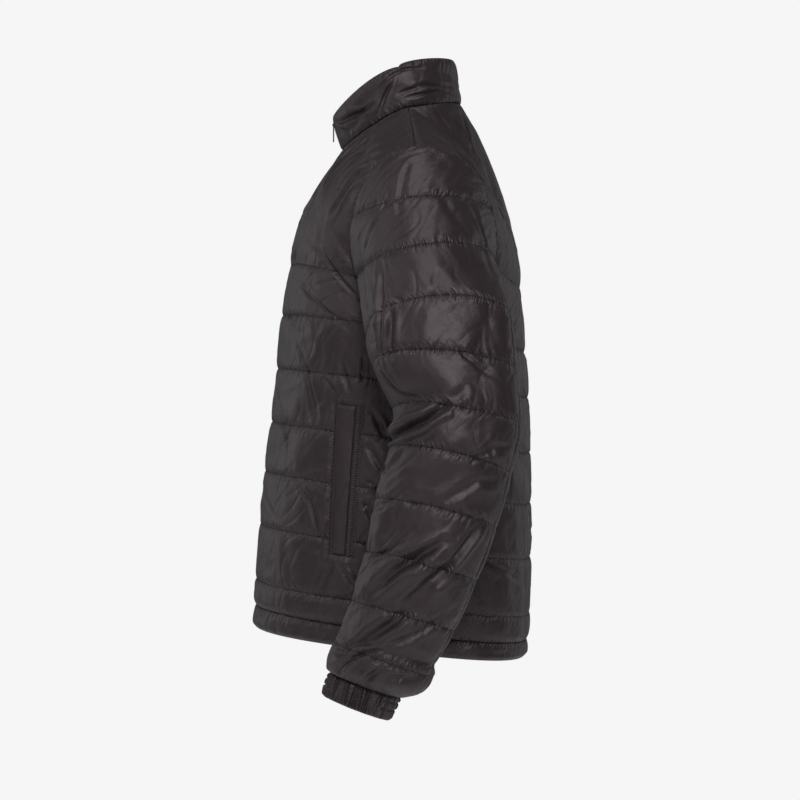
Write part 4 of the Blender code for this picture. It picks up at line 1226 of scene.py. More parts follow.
@dataclass
class Panel:
    """One cut piece: its fine grid, the height of its cloth and the depth of its wall.

    The group says which pieces share one direction where they meet.
    """

    name: str
    group: str
    grid: Array
    height: Array
    wall: float
    slot: str = "shell_cloth"
    closed: bool = False
    sewing: Array | None = None
    fullness: float = 1.0
    own: Array = field(init=False)
    normals: Array = field(init=False)
    depth: Array = field(init=False)

    def __post_init__(self) -> None:
        """Works out the grid's own directions."""
        self.own = grid_normals(self.grid, self.closed)
        self.normals = self.own.copy()
        self.depth = np.full(self.grid.shape[:2], float(self.wall))

    def border(self) -> Array:
        """Which points lie on the panel's edges.

        Returns:
            True at such points.
        """
        marked = np.zeros(self.grid.shape[:2], bool)
        marked[0] = marked[-1] = True
        if not self.closed:
            marked[:, 0] = marked[:, -1] = True
        return marked

    def drawn_back(self, gap: float = 0.3) -> Array:
        """The grid with its edges drawn back from the seams by half of the gap.

        Args:
            gap: gap between two pieces.
        Returns:
            Rows by columns by 3.
        """
        grid = self.grid.copy()
        edges: list[tuple[Any, int]] = [(np.s_[0, :], 1), (np.s_[-1, :], -1)]
        if not self.closed:
            edges += [(np.s_[:, 0], -1), (np.s_[:, -1], 1)]
        for edge, turn in edges:
            line = self.grid[edge]
            along = (np.roll(line, -1, axis=0) - np.roll(line, 1, axis=0) if self.closed
                     else np.gradient(line, axis=0))
            grid[edge] += unit(np.cross(self.normals[edge], along) * turn) * gap / 2
        return grid

    def outer(self) -> Array:
        """Points of the cloth's outer side."""
        return self.drawn_back() + self.normals * self.height[..., None]

    def lining(self) -> Array:
        """Points of the cloth's inner side."""
        return self.drawn_back() - self.normals * self.depth[..., None]

    def build(self, finishes: Sequence[bpy.types.Material]) -> bpy.types.Object:
        """The panel as one closed wall, fine outside and plain inside.

        Each step of the inner edge is joined to its fine outer steps by one face.
        Args:
            finishes: the outer and the inner finish.
        Returns:
            The panel's object.
        """
        outer, inner = self.outer(), self.lining()[::UP, ::ACROSS]
        (rows, columns), (low_rows, low_columns) = outer.shape[:2], inner.shape[:2]
        count = rows * columns
        fine = np.arange(count).reshape(rows, columns)
        coarse = count + np.arange(low_rows * low_columns).reshape(low_rows, low_columns)
        if self.closed:
            fine, coarse = (np.hstack((line, line[:, :1])) for line in (fine, coarse))
        edges = [(fine[0][::-1], coarse[0][::-1], ACROSS), (fine[-1], coarse[-1], ACROSS)]
        if not self.closed:
            edges += [(fine[:, 0], coarse[:, 0], UP), (fine[::-1, -1], coarse[::-1, -1], UP)]
        strips = []
        for line, low, step in edges:
            base = np.arange(len(low) - 1)
            spans = line[(base * step)[:, None] + np.arange(step + 1)[None]]
            strips.append((np.hstack((spans, low[base + 1][:, None], low[base][:, None])),
                           0, False))
        flat = np.stack(grid_lengths(self.grid), axis=-1)
        sewing = np.full_like(flat, FAR) if self.sewing is None else self.sewing
        inside = flat[::UP, ::ACROSS].reshape(-1, 2)
        maps = {"cloth": np.vstack((flat.reshape(-1, 2), inside)),
                "sewing": np.vstack((sewing.reshape(-1, 2), np.full_like(inside, FAR)))}
        groups = [(quads(rows, columns, 0, self.closed), 0, True),
                  (quads(low_rows, low_columns, count, self.closed, True), 1, True), *strips]
        points = np.vstack((outer.reshape(-1, 3), inner.reshape(-1, 3)))
        return build_mesh(self.name, points, groups, finishes, maps)

    @property
    def held(self) -> str:
        """How the cloth is held: gathered where its cut is fuller than its seam."""
        return "gathered" if self.fullness > 1 else "hung"

    def flat_size(self) -> tuple[float, float, float]:
        """Width, length and area of the cut in metres, from the grid and its fullness.

        Returns:
            The width, the length and the area.
        """
        u, v = grid_lengths(self.grid)
        edge_a = np.diff(self.grid, axis=0)[:, :-1]
        edge_b = np.diff(self.grid, axis=1)[:-1]
        area = float(np.linalg.norm(np.cross(edge_a, edge_b), axis=2).sum())
        width = float(u[:, -1].max()) * self.fullness * MM
        return width, float(v[-1].max()) * MM, area * self.fullness * MM * MM


def share_directions(panels: Sequence[Panel]) -> None:
    """Gives the points that panels share along a seam one direction and one depth.

    The directions at a shared point are averaged inside each group, then over the groups, and the
    depth grows where the groups meet at an angle.
    Args:
        panels: every cloth panel.
    """
    groups = sorted({panel.group for panel in panels})
    marks = [panel.border() for panel in panels]
    places = np.vstack([p.grid[m] for p, m in zip(panels, marks)])
    own = np.vstack([p.own[m] for p, m in zip(panels, marks)])
    walls = np.concatenate([np.full(m.sum(), p.wall) for p, m in zip(panels, marks)])
    kind = np.concatenate([np.full(m.sum(), groups.index(p.group))
                           for p, m in zip(panels, marks)])
    _, meeting = np.unique(np.round(places * 20).astype(int), axis=0, return_inverse=True)
    meeting = meeting.ravel()
    count = int(meeting.max()) + 1
    sums = np.zeros((count, len(groups), 3))
    np.add.at(sums, (meeting, kind), own)
    sizes = np.linalg.norm(sums, axis=2, keepdims=True)
    present = sizes[..., 0] > TINY
    total = (sums / np.maximum(sizes, TINY) * present[..., None]).sum(axis=1)
    length = np.linalg.norm(total, axis=1)
    mean_wall = np.bincount(meeting, walls) / np.bincount(meeting)
    depth = mean_wall / np.maximum(length / present.sum(axis=1), 0.7)
    done = 0
    for panel, mark in zip(panels, marks):
        number = int(mark.sum())
        which = meeting[done:done + number]
        panel.normals[mark] = total[which] / length[which][:, None]
        panel.depth[mark] = depth[which]
        done += number


# ======== finishes
class Value:
    """A number in a material, with arithmetic that adds the Math nodes."""

    def __init__(self, graph: Graph, socket: Any) -> None:
        """Wraps one output socket of a graph."""
        self.graph = graph
        self.socket = socket

    def maths(self, operation: str, *terms: Any) -> Value:
        """The result of one Math node.

        Args:
            operation: the node's operation.
            terms: its inputs.
        Returns:
            The result.
        """
        made = self.graph.node("ShaderNodeMath", {"operation": operation},
                               dict(enumerate(terms)))
        return Value(self.graph, made.outputs[0])

    def __add__(self, other: Any) -> Value:
        """Sum."""
        return self.maths("ADD", self, other)

    __radd__ = __add__

    def __sub__(self, other: Any) -> Value:
        """Difference."""
        return self.maths("SUBTRACT", self, other)

    def __rsub__(self, other: Any) -> Value:
        """Difference the other way round."""
        return self.maths("SUBTRACT", other, self)

    def __mul__(self, other: Any) -> Value:
        """Product."""
        return self.maths("MULTIPLY", self, other)

    __rmul__ = __mul__

    def sine(self) -> Value:
        """Sine of the value in radians."""
        return self.maths("SINE", self)

    def size(self) -> Value:
        """The value without its sign."""
        return self.maths("ABSOLUTE", self)

    def clipped(self) -> Value:
        """The value held between 0 and 1."""
        return self.maths("MINIMUM", self.maths("MAXIMUM", self, 0.0), 1.0)

    def vein(self, sharpness: float) -> Value:
        """1 where a noise passes its middle, falling to 0 beside it."""
        return 1.0 - ((self * 2.0 - 1.0).size() * sharpness).clipped()


class Graph:
    """The node tree of one material."""

    def __init__(self, name: str) -> None:
        """Starts a material with its Principled shader.

        Args:
            name: the material's name.
        """
        self.material = bpy.data.materials.new(name)
        self.material.use_nodes = True
        self.tree = self.material.node_tree
        self.shader = self.tree.nodes["Principled BSDF"]

    def node(self, kind: str, settings: dict[str, Any], sockets: dict[Any, Any]) -> Any:
        """Adds a node.

        Args:
            kind: the node's type.
            settings: its properties, set first.
            sockets: values or links of its inputs, by name or number.
        Returns:
            The node.
        """
        made = self.tree.nodes.new(kind)
        for key, value in settings.items():
            setattr(made, key, value)
        for key, value in sockets.items():
            self.put(made, key, value)
        return made

    def put(self, node: Any, key: Any, value: Any) -> None:
        """Sets or links one input of a node.

        Args:
            node: the node.
            key: the input's name or number.
            value: what it is set or linked to.
        """
        value = getattr(value, "socket", value)
        if isinstance(value, bpy.types.NodeSocket):
            self.tree.links.new(value, node.inputs[key])
        else:
            node.inputs[key].default_value = value

    def place(self) -> Any:
        """The piece's own place in space, as a socket."""
        return self.node("ShaderNodeTexCoord", {}, {}).outputs["Object"]

    def noise(self, scale: float, detail: float = 2.0) -> Value:
        """Noise over the piece's own place in space, from 0 to 1.

        Args:
            scale: how many features a metre.
            detail: how many finer layers.
        Returns:
            The noise.
        """
        made = self.node("ShaderNodeTexNoise", {},
                         {"Vector": self.place(), "Scale": scale, "Detail": detail})
        return Value(self, made.outputs["Fac"])

    def parts(self, place: Any) -> list[Value]:
        """The three numbers of a place."""
        made = self.node("ShaderNodeSeparateXYZ", {}, {0: place})
        return [Value(self, socket) for socket in made.outputs]

    def map_place(self, name: str) -> list[Value]:
        """The two distances of a UV map, in metres."""
        return self.parts(self.node("ShaderNodeUVMap", {"uv_map": name}, {}).outputs[0])[:2]

    def streaks(self, x: Value, y: Value, detail: float = 1.0) -> Value:
        """Noise over two values, from 0 to 1.

        Args:
            x, y: the two values.
            detail: how many finer layers.
        Returns:
            The noise.
        """
        place = self.node("ShaderNodeCombineXYZ", {}, {0: x, 1: y}).outputs[0]
        made = self.node("ShaderNodeTexNoise", {"noise_dimensions": "2D"},
                         {"Vector": place, "Scale": 1.0, "Detail": detail})
        return Value(self, made.outputs["Fac"])

    def mix_colour(self, share: Value, dark: Any, light: Any) -> Any:
        """A colour between two, as a socket. Each is a colour or another socket.

        Args:
            share: 0 for the dark end, 1 for the light one.
            dark, light: the ends.
        Returns:
            The socket.
        """
        ends = [c if isinstance(c, bpy.types.NodeSocket) else (*c, 1.0) for c in (dark, light)]
        made = self.node("ShaderNodeMix", {"data_type": "RGBA"},
                         {0: share, 6: ends[0], 7: ends[1]})
        return made.outputs[2]

    def bump(self, height: Value, distance: float, strength: float) -> Any:
        """A normal tipped by a height, as a socket."""
        return self.node("ShaderNodeBump", {}, {"Strength": strength, "Distance": distance,
                                                "Height": height}).outputs[0]

    def finish(self, **sockets: Any) -> bpy.types.Material:
        """Sets the shader's inputs, spaces written as underscores, and returns the material.

        Args:
            sockets: values or links by input.
        Returns:
            The material.
        """
        for key, value in sockets.items():
            self.put(self.shader, key.replace("_", " "), value)
        return self.material


@dataclass(frozen=True)
class SatinCloth:
    """Dark polyester with a satin face, for the shell."""

    name: str = "shell_cloth"
    dark: Colour = (0.0165, 0.0112, 0.0130)
    light: Colour = (0.0245, 0.0168, 0.0194)
    # Colour of the painted shade in the groove along each row of sewing, partly the thread's own
    # dark.
    deep: Colour = (0.0040, 0.0028, 0.0032)
    roughness: float = 0.475
    thread: float = 0.00042
    tick_reach: float = 0.011
    # How far from the sewing that painted shade reaches, in metres.
    line_reach: float = 0.0011

    def material(self) -> bpy.types.Material:
        """The finish: a fine ribbed weave, soft drapes, short ticks along the sewing, and a thin
        dark line along the sewing that is painted shade in its groove and partly the thread's own
        dark.

        Drapes and wrinkles run up the cloth and sway. A tick is a vein of noise along the sewing,
        and fades out as the square of the distance from it.
        Returns:
            The material.
        """
        graph = Graph(self.name)
        u, v = graph.map_place("cloth")
        along, near = graph.map_place("sewing")
        turn = 2 * math.pi / self.thread
        weave = (u * turn).sine() * (v * turn).sine()
        rib = graph.streaks(u * 70, v * 1500, 2.0)
        crumple = graph.noise(240, 3.0)
        ridges = 1.0 - (graph.noise(95, 2.0) * 2.0 - 1.0).size()
        sway = graph.noise(9, 1.0) * 2.5
        drape = graph.streaks(u * 62 + v * 12 + sway, v * 10, 0.5)
        wrinkle = graph.streaks(u * 40 - v * 20 + sway, v * 17, 0.5).vein(4.0)
        tick = graph.streaks(along * 190 + near * 90, near * 40).vein(3.0)
        fold = graph.streaks(along * 85 + near * 40, near * 25).vein(4.0)
        close = (1.0 - near * (1 / self.tick_reach)).clipped()
        # Painted shade along the sewing, partly the thread's own dark: 1 on the sewing, 0 about a
        # millimetre off it.
        line = 1.0 - (near * (1 / self.line_reach)).clipped()
        height = (weave * 0.015 + rib * 0.12 + crumple * 0.26 + ridges * 0.20 + drape * 1.6
                  - wrinkle * 0.7 - tick * close * close * 1.5 - fold * close * 0.9
                  - line * 0.6)
        tone = (graph.noise(28, 3.0) * 0.5 + rib * 0.5).clipped()
        cloth = graph.mix_colour(tone, self.dark, self.light)
        return graph.finish(
            # The base colour goes most of the way to the painted shade colour along the sewing.
            Base_Color=graph.mix_colour(line * 0.75, cloth, self.deep),
            Roughness=self.roughness - 0.07 + 0.14 * rib,
            Normal=graph.bump(height, 0.0011, 0.75),
            Sheen_Weight=0.05, Sheen_Roughness=0.35, Specular_IOR_Level=0.5,
            Specular_Tint=(1.0, 0.90, 0.93, 1.0))


@dataclass(frozen=True)
class PlainLining:
    """Plain dark cloth inside the jacket."""

    name: str = "lining_cloth"
    colour: Colour = (0.014, 0.012, 0.0125)

    def material(self) -> bpy.types.Material:
        """The finish: a matt weave.

        Returns:
            The material.
        """
        graph = Graph(self.name)
        crumple = graph.noise(160, 3.0)
        lighter = tuple(1.4 * c for c in self.colour)
        return graph.finish(Base_Color=graph.mix_colour(crumple, self.colour, lighter),
                            Roughness=0.62, Normal=graph.bump(crumple, 0.0008, 0.5))


@dataclass(frozen=True)
class WovenTape:
    """Zip tape."""

    name: str = "zip_tape"
    dark: Colour = (0.006, 0.005, 0.0055)
    light: Colour = (0.015, 0.012, 0.0135)
    rib: float = 0.0008

    def material(self) -> bpy.types.Material:
        """The finish: slanting ribs on the tape's own place in space.

        Returns:
            The material.
        """
        graph = Graph(self.name)
        x, _, z = graph.parts(graph.place())
        rib = ((x * 0.6 + z) * (2 * math.pi / self.rib)).sine() * 0.5 + 0.5
        height = rib * 0.6 + graph.noise(1500, 1.0) * 0.4
        return graph.finish(Base_Color=graph.mix_colour(height, self.dark, self.light),
                            Roughness=0.68, Normal=graph.bump(height, 0.0003, 0.8))


@dataclass(frozen=True)
class Moulded:
    """A hard finish: nylon teeth, thread or painted metal."""

    name: str
    colour: Colour
    roughness: float
    metallic: float = 0.0
    grain: float = 500.0

    def material(self) -> bpy.types.Material:
        """The finish, with faint changes of tone and gloss.

        Returns:
            The material.
        """
        graph = Graph(self.name)
        grain = graph.noise(self.grain, 3.0)
        lighter = tuple(1.35 * c for c in self.colour)
        return graph.finish(Base_Color=graph.mix_colour(grain, self.colour, lighter),
                            Roughness=self.roughness + 0.16 * grain, Metallic=self.metallic,
                            Normal=graph.bump(grain, 0.0001, 0.4))


class Finishes:
    """Every finish of the jacket, made once."""

    def __init__(self) -> None:
        """Makes the materials."""
        self.shell = SatinCloth().material()
        self.lining = PlainLining().material()
        self.tape = WovenTape().material()
        self.teeth, self.thread, self.zigzag, self.metal = (Moulded(*row).material() for row in (
            ("nylon_teeth", (0.016, 0.013, 0.0145), 0.34),
            ("sewing_thread", (0.012, 0.009, 0.0105), 0.72, 0.0, 2500.0),
            ("zigzag_thread", (0.050, 0.038, 0.042), 0.6, 0.0, 2500.0),
            ("zip_metal", (0.11, 0.105, 0.10), 0.28, 0.9)))


# ======== small repeated shapes
def tube_ends(turns: int, rows: int) -> Array:
    """Faces that close both ends of a tube made of rings with an even number of points.

    Args:
        turns: points of a ring.
        rows: how many rings.
    Returns:
        One face of four corners a row.
    """
    last = (rows - 1) * turns
    step = 2 * np.arange((turns - 2) // 2)[:, None]
    low = np.hstack((step * 0, turns - 1 - step, turns - 2 - step, turns - 3 - step))
    high = last + np.hstack((step * 0, step + 1, step + 2, step + 3))
    return np.vstack((low, high))


def rings_shape(rings: Array) -> Shape:
    """A closed shape of rings of points, one a row, with both ends closed."""
    rows, turns = rings.shape[:2]
    return rings.reshape(-1, 3), np.vstack((quads(rows, turns, 0, True), tube_ends(turns, rows)))


def lozenges(places: Array, along: Array, out: Array, sizes: Place) -> Shape:
    """Small pointed ovals, one at each place, such as stitches.

    Each is three rings of six points, an ellipse across that is full in the middle and small at
    both ends.
    Args:
        places: middle of each, one a row.
        along: its long direction.
        out: the direction away from the cloth.
        sizes: its length, width and height in millimetres.
    Returns:
        Points and faces.
    """
    along = unit(along)
    side = unit(np.cross(out, along))
    turn = np.tile(np.linspace(0, 2 * math.pi, 6, endpoint=False), 3)
    ends = np.repeat([-0.5, 0.0, 0.5], 6)
    girth = np.repeat([0.35, 1.0, 0.35], 6)
    long, wide, high = sizes
    local = np.stack((ends * long, np.cos(turn) * girth * wide / 2,
                      np.sin(turn) * girth * high / 2), axis=1)
    axes = np.stack((along, side, np.cross(along, side)), axis=1)
    points = places[:, None, :] + np.einsum("pk,nkc->npc", local, axes)
    _, one = rings_shape(local.reshape(3, 6, 3))
    faces = one[None] + (np.arange(len(places)) * len(local))[:, None, None]
    return points.reshape(-1, 3), faces.reshape(-1, 4)


def along_line(line: Array, normals: Array, pitch: float) -> tuple[Array, Array, Array]:
    """Evenly spaced places on a line, with its run and normal at each.

    Args:
        line: its points.
        normals: the direction out at each.
        pitch: about how far apart the places are.
    Returns:
        Places, runs and normals, one a row.
    """
    lengths = run_lengths(line)
    count = max(2, int(lengths[-1] / pitch))
    at = (np.arange(count) + 0.5) * lengths[-1] / count
    places = at_lengths(line, lengths, at)
    return places, np.gradient(places, axis=0), at_lengths(normals, lengths, at)


def stitches(line: Array, normals: Array, pitch: float = 3.2) -> Shape:
    """A row of running stitches on a line of points on the cloth, 0.1 mm proud of it."""
    places, run, out = along_line(line, normals, pitch)
    return lozenges(places + out * 0.1, run, out, (pitch * 0.75, 0.5, 0.4))


def rounded_block(low: Place, high: Place, power: float = 0.35, rings: int = 12,
                  turns: int = 24) -> Shape:
    """A box with rounded edges: the surface of a superellipsoid between two corners.

    x and y go as powers of the cosine and sine round it, all three as powers of those of the
    angle up from its middle.
    Args:
        low, high: two opposite corners.
        power: under 1 for squarer edges.
        rings, turns: how many points up it and round it.
    Returns:
        Points and faces.
    """
    low_a, high_a = np.array(low, float), np.array(high, float)
    up = np.linspace(-math.pi / 2 + 1e-3, math.pi / 2 - 1e-3, rings)[:, None]
    turn = np.linspace(0, 2 * math.pi, turns, endpoint=False)[None]

    def bent(value: Array) -> Array:
        """The value's size to the power, with its sign."""
        return np.sign(value) * np.abs(value) ** power

    shape = np.stack((bent(np.cos(up)) * bent(np.cos(turn)), bent(np.cos(up)) * bent(np.sin(turn)),
                      np.broadcast_to(bent(np.sin(up)), (rings, turns))), axis=-1)
    return rings_shape((low_a + high_a) / 2 + shape * (high_a - low_a) / 2)


def rod_along_x(radius: float, half: float, centre: Place, hole: float = 0.0,
                turns: int = 24) -> Shape:
    """A round rod or ring along X with softened edges, revolved from its outline.

    Args:
        radius: outer radius.
        half: half of its length.
        centre: its middle.
        hole: radius of the hole through it, or 0.
        turns: points round it.
    Returns:
        Points and faces.
    """
    soft = min(0.25, half / 3)
    inner = max(hole + soft, 1e-3) if hole else 1e-3
    outline = [(-half, inner), (-half, radius - soft), (-half + soft, radius),
               (half - soft, radius), (half, radius - soft), (half, inner)]
    if hole:
        outline += [(half - soft, hole), (-half + soft, hole), outline[0]]
    table = np.array(outline)
    turn = np.linspace(0, 2 * math.pi, turns, endpoint=False)
    r = table[:, 1:]
    rings = np.stack((np.repeat(table[:, :1], turns, axis=1), r * np.cos(turn)[None],
                      r * np.sin(turn)[None]), axis=-1)
    points, faces = rings_shape(rings)
    return points + np.array(centre), quads(len(rings), turns, 0, True) if hole else faces


# ======== sub-assemblies
def jittered(creases: Sequence[Crease], seed: int, shift: float = 0.025,
             factors: tuple[float, float] = (0.75, 1.2)) -> tuple[Crease, ...]:
    """The creases moved a little and made a little deeper or shallower, at random.

    Args:
        creases: the creases.
        seed: choice of the changes.
        shift: greatest move as a share of the panel.
        factors: least and greatest change of depth.
    Returns:
        As many creases.
    """
    draw = np.random.default_rng(seed)
    shifts = draw.uniform(-shift, shift, (len(creases), 2))
    depths = draw.uniform(*factors, len(creases))
    return tuple(c.moved(float(s[0]), float(s[1]), float(f))
                 for c, s, f in zip(creases, shifts, depths))


@dataclass
class Body:
    """The two fronts, the back and the hem band. Puffs, walls and lifts are in millimetres."""

    cut: Cut
    puff: float = 6.0
    facing_puff: float = 2.4
    yoke_puff: float = 1.6
    underarm_press: float = 0.9
    wall: float = 2.2
    hem_lift: float = 2.6
    side_lift: float = 1.8
    zip_lift: float = 2.2
    seam_reach: float = 9.0
    seam_sink: float = 1.0
    pocket_level: float = 1.6
    pocket_rows: tuple[int, int] = (33, 101)
    pocket_clear: float = 0.2
    pocket_fade: float = 4.5
    hem_wall: float = 4.0
    hem_level: float = 1.6
    hem_puff: float = 2.6
    hem_fold: float = 4.5
    hem_reach: float = 6.0
    hem_end_lift: float = 0.5

    def facing(self, neck_columns: int, start: float) -> Array:
        """How much each column faces a sleeve, 0 from the middle out and 1 beside the seam."""
        columns = neck_columns + self.cut.shoulder_columns
        return refined(np.clip(np.linspace(start, 2.0, columns + 1), 0, 1), ACROSS)

    def padding(self, relief: Relief, facing: Array) -> None:
        """Fills the quilted channels, and the plain part above them.

        The top channel is pressed flat under the arm. Above it the last stitch line's height dies
        away as a cube, and a thin pad rises exponentially from the line.
        Args:
            relief: the panel's relief.
            facing: how much each column faces a sleeve, 0 to 1.
        """
        puff = self.puff + (self.facing_puff - self.puff) * facing
        relief.pad(BODY_ROWS[:-2], puff)
        relief.height[BODY_ROWS[-3]] = 0
        relief.pad(BODY_ROWS[-3:], puff * (1 - self.underarm_press * facing))
        top = BODY_ROWS[-1]
        off = relief.v[top:] - relief.v[top]
        rise = off / (relief.v[-1:] - relief.v[top])
        yoke = relief.height[top][None] * (1 - rise ** 3) + self.yoke_puff * (
            1 - np.exp(-off / 7)) * (1 - rise ** 4)
        yoke += puckers(relief.u[top:], off, 1.1, 9, relief.seed + 901)
        soft = relief.near_edge(16)[top:]
        yoke += soft * (0.9 * relief.spots(46)[top:] + 0.25 * relief.facets(24)[top:])
        relief.height[top:] = yoke

    def armhole_row(self) -> int:
        """Grid row of the underarm, where the armhole starts."""
        return BODY_ROWS[-1] - self.cut.underarm_steps * UP

    def settle(self, relief: Relief, sides: dict[str, Array]) -> None:
        """Brings the cloth down to its seams, the lower one raised over the hem band."""
        lifts = {**sides, "bottom": self.hem_lift * window(relief.u.shape[1]), "top": 0.0}
        relief.settle(self.seam_reach, lifts, self.seam_sink)

    def side_edge(self, relief: Relief) -> Array:
        """Height of a side seam at each row: raised below the underarm, flat along the armhole."""
        return self.side_lift * window(len(relief.u), self.armhole_row())

    def front(self, side: Side) -> Panel:
        """One front.

        Args:
            side: the wearer's side.
        Returns:
            The panel.
        """
        name = f"front_{side.word}"
        relief = Relief(folded(self.cut.front(), FRONT_FOLDS), SEEDS[name])
        self.padding(relief, self.facing(self.cut.neck_front_columns, -5.0))
        relief.edge_puckers("right", size=2.3, reach=13, rows=slice(self.armhole_row(), None))
        relief.edge_puckers("top", size=1.1, reach=8)
        relief.edge_puckers("left", size=0.6, reach=5)
        relief.crease(FRONT_CREASES if side is Side.LEFT
                      else jittered(FRONT_CREASES, relief.seed))
        self.press_pocket(relief)
        self.settle(relief, {"left": self.zip_lift * window(len(relief.u), None, 0.15),
                             "right": self.side_edge(relief)})
        return relief.panel(f"{name}_cloth", "body", self.wall, side)

    def press_pocket(self, relief: Relief) -> None:
        """Presses the cloth flat under the pocket, and puckers it beside the pocket's sewing.

        Args:
            relief: the front's relief.
        """
        column = self.cut.pocket_column * ACROSS
        first, last = (relief.u[:, [column + k]] for k in self.cut.pocket_reach)
        off = np.maximum(np.maximum(first - relief.u, relief.u - last), 0)
        low, high = (relief.v[row, column] for row in self.pocket_rows)
        end_off = np.maximum(np.maximum(low - relief.v, relief.v - high), 0)
        away = np.hypot(off, end_off)
        keep = eased_in(np.clip((away - self.pocket_clear) / self.pocket_fade, 0, 1))
        relief.height = relief.height * keep + self.pocket_level * (1 - keep)
        beside = puckers(relief.v, off, 2.3, 9, relief.seed + 951)
        beyond = puckers(relief.u, away, 2.2, 11, relief.seed + 961)
        relief.height += np.where((end_off <= 0) & (off > 0), beside, 0)
        relief.height += np.where(end_off > 0, beyond, 0)

    def back(self) -> Panel:
        """The whole back.

        Returns:
            The panel.
        """
        half = folded(self.cut.back_half(), BACK_HALF_FOLDS, -1)
        relief = Relief(self.cut.whole_back(half), SEEDS["back"])
        facing = self.facing(self.cut.neck_back_columns, -3.0)
        self.padding(relief, np.concatenate((facing[::-1], facing[1:])))
        for side in ("left", "right"):
            relief.edge_puckers(side, size=2.4, reach=14, rows=slice(self.armhole_row(), None))
        relief.edge_puckers("top", size=1.6, reach=10)
        relief.crease(BACK_HALF_CREASES + tuple(
            c.mirrored() for c in jittered(BACK_HALF_CREASES, relief.seed + 1)))
        self.settle(relief, dict.fromkeys(("left", "right"), self.side_edge(relief)))
        return relief.panel("back_cloth", "body", self.wall)

    def hem_band(self, part: str) -> Panel:
        """One length of the hem band: front_left, front_right or back.

        Args:
            part: which length.
        Returns:
            The panel.
        """
        grid = self.cut.quarter(HEM_LINES, part != "back")
        if part == "back":
            grid = self.cut.whole_back(grid)
        relief = Relief(grid, SEEDS[f"hem_band_{part}"])
        rise = relief.v / relief.v[-1:]
        arch = np.clip(np.sin(math.pi * rise ** 0.8), 0, 1) ** 0.5
        relief.height += self.hem_level + self.hem_puff * arch
        relief.height += 0.5 * relief.spots(34) * relief.near_edge(8)
        relief.height += 0.5 * relief.facets(13)
        relief.edge_puckers("top", size=1.9, reach=8)
        relief.edge_puckers("bottom", size=0.7, reach=4)
        relief.crease(jittered(HEM_CREASES, relief.seed), edge=8)
        relief.height *= np.clip(relief.v / self.hem_fold, 0, 1) ** 0.5
        relief.settle(self.hem_reach, {"left": self.hem_end_lift, "right": 0.0,
                                       "top": self.hem_lift * window(relief.u.shape[1])})
        side = Side.RIGHT if part == "front_right" else Side.LEFT
        return relief.panel(f"hem_band_{part}_cloth", "body", self.hem_wall, side)


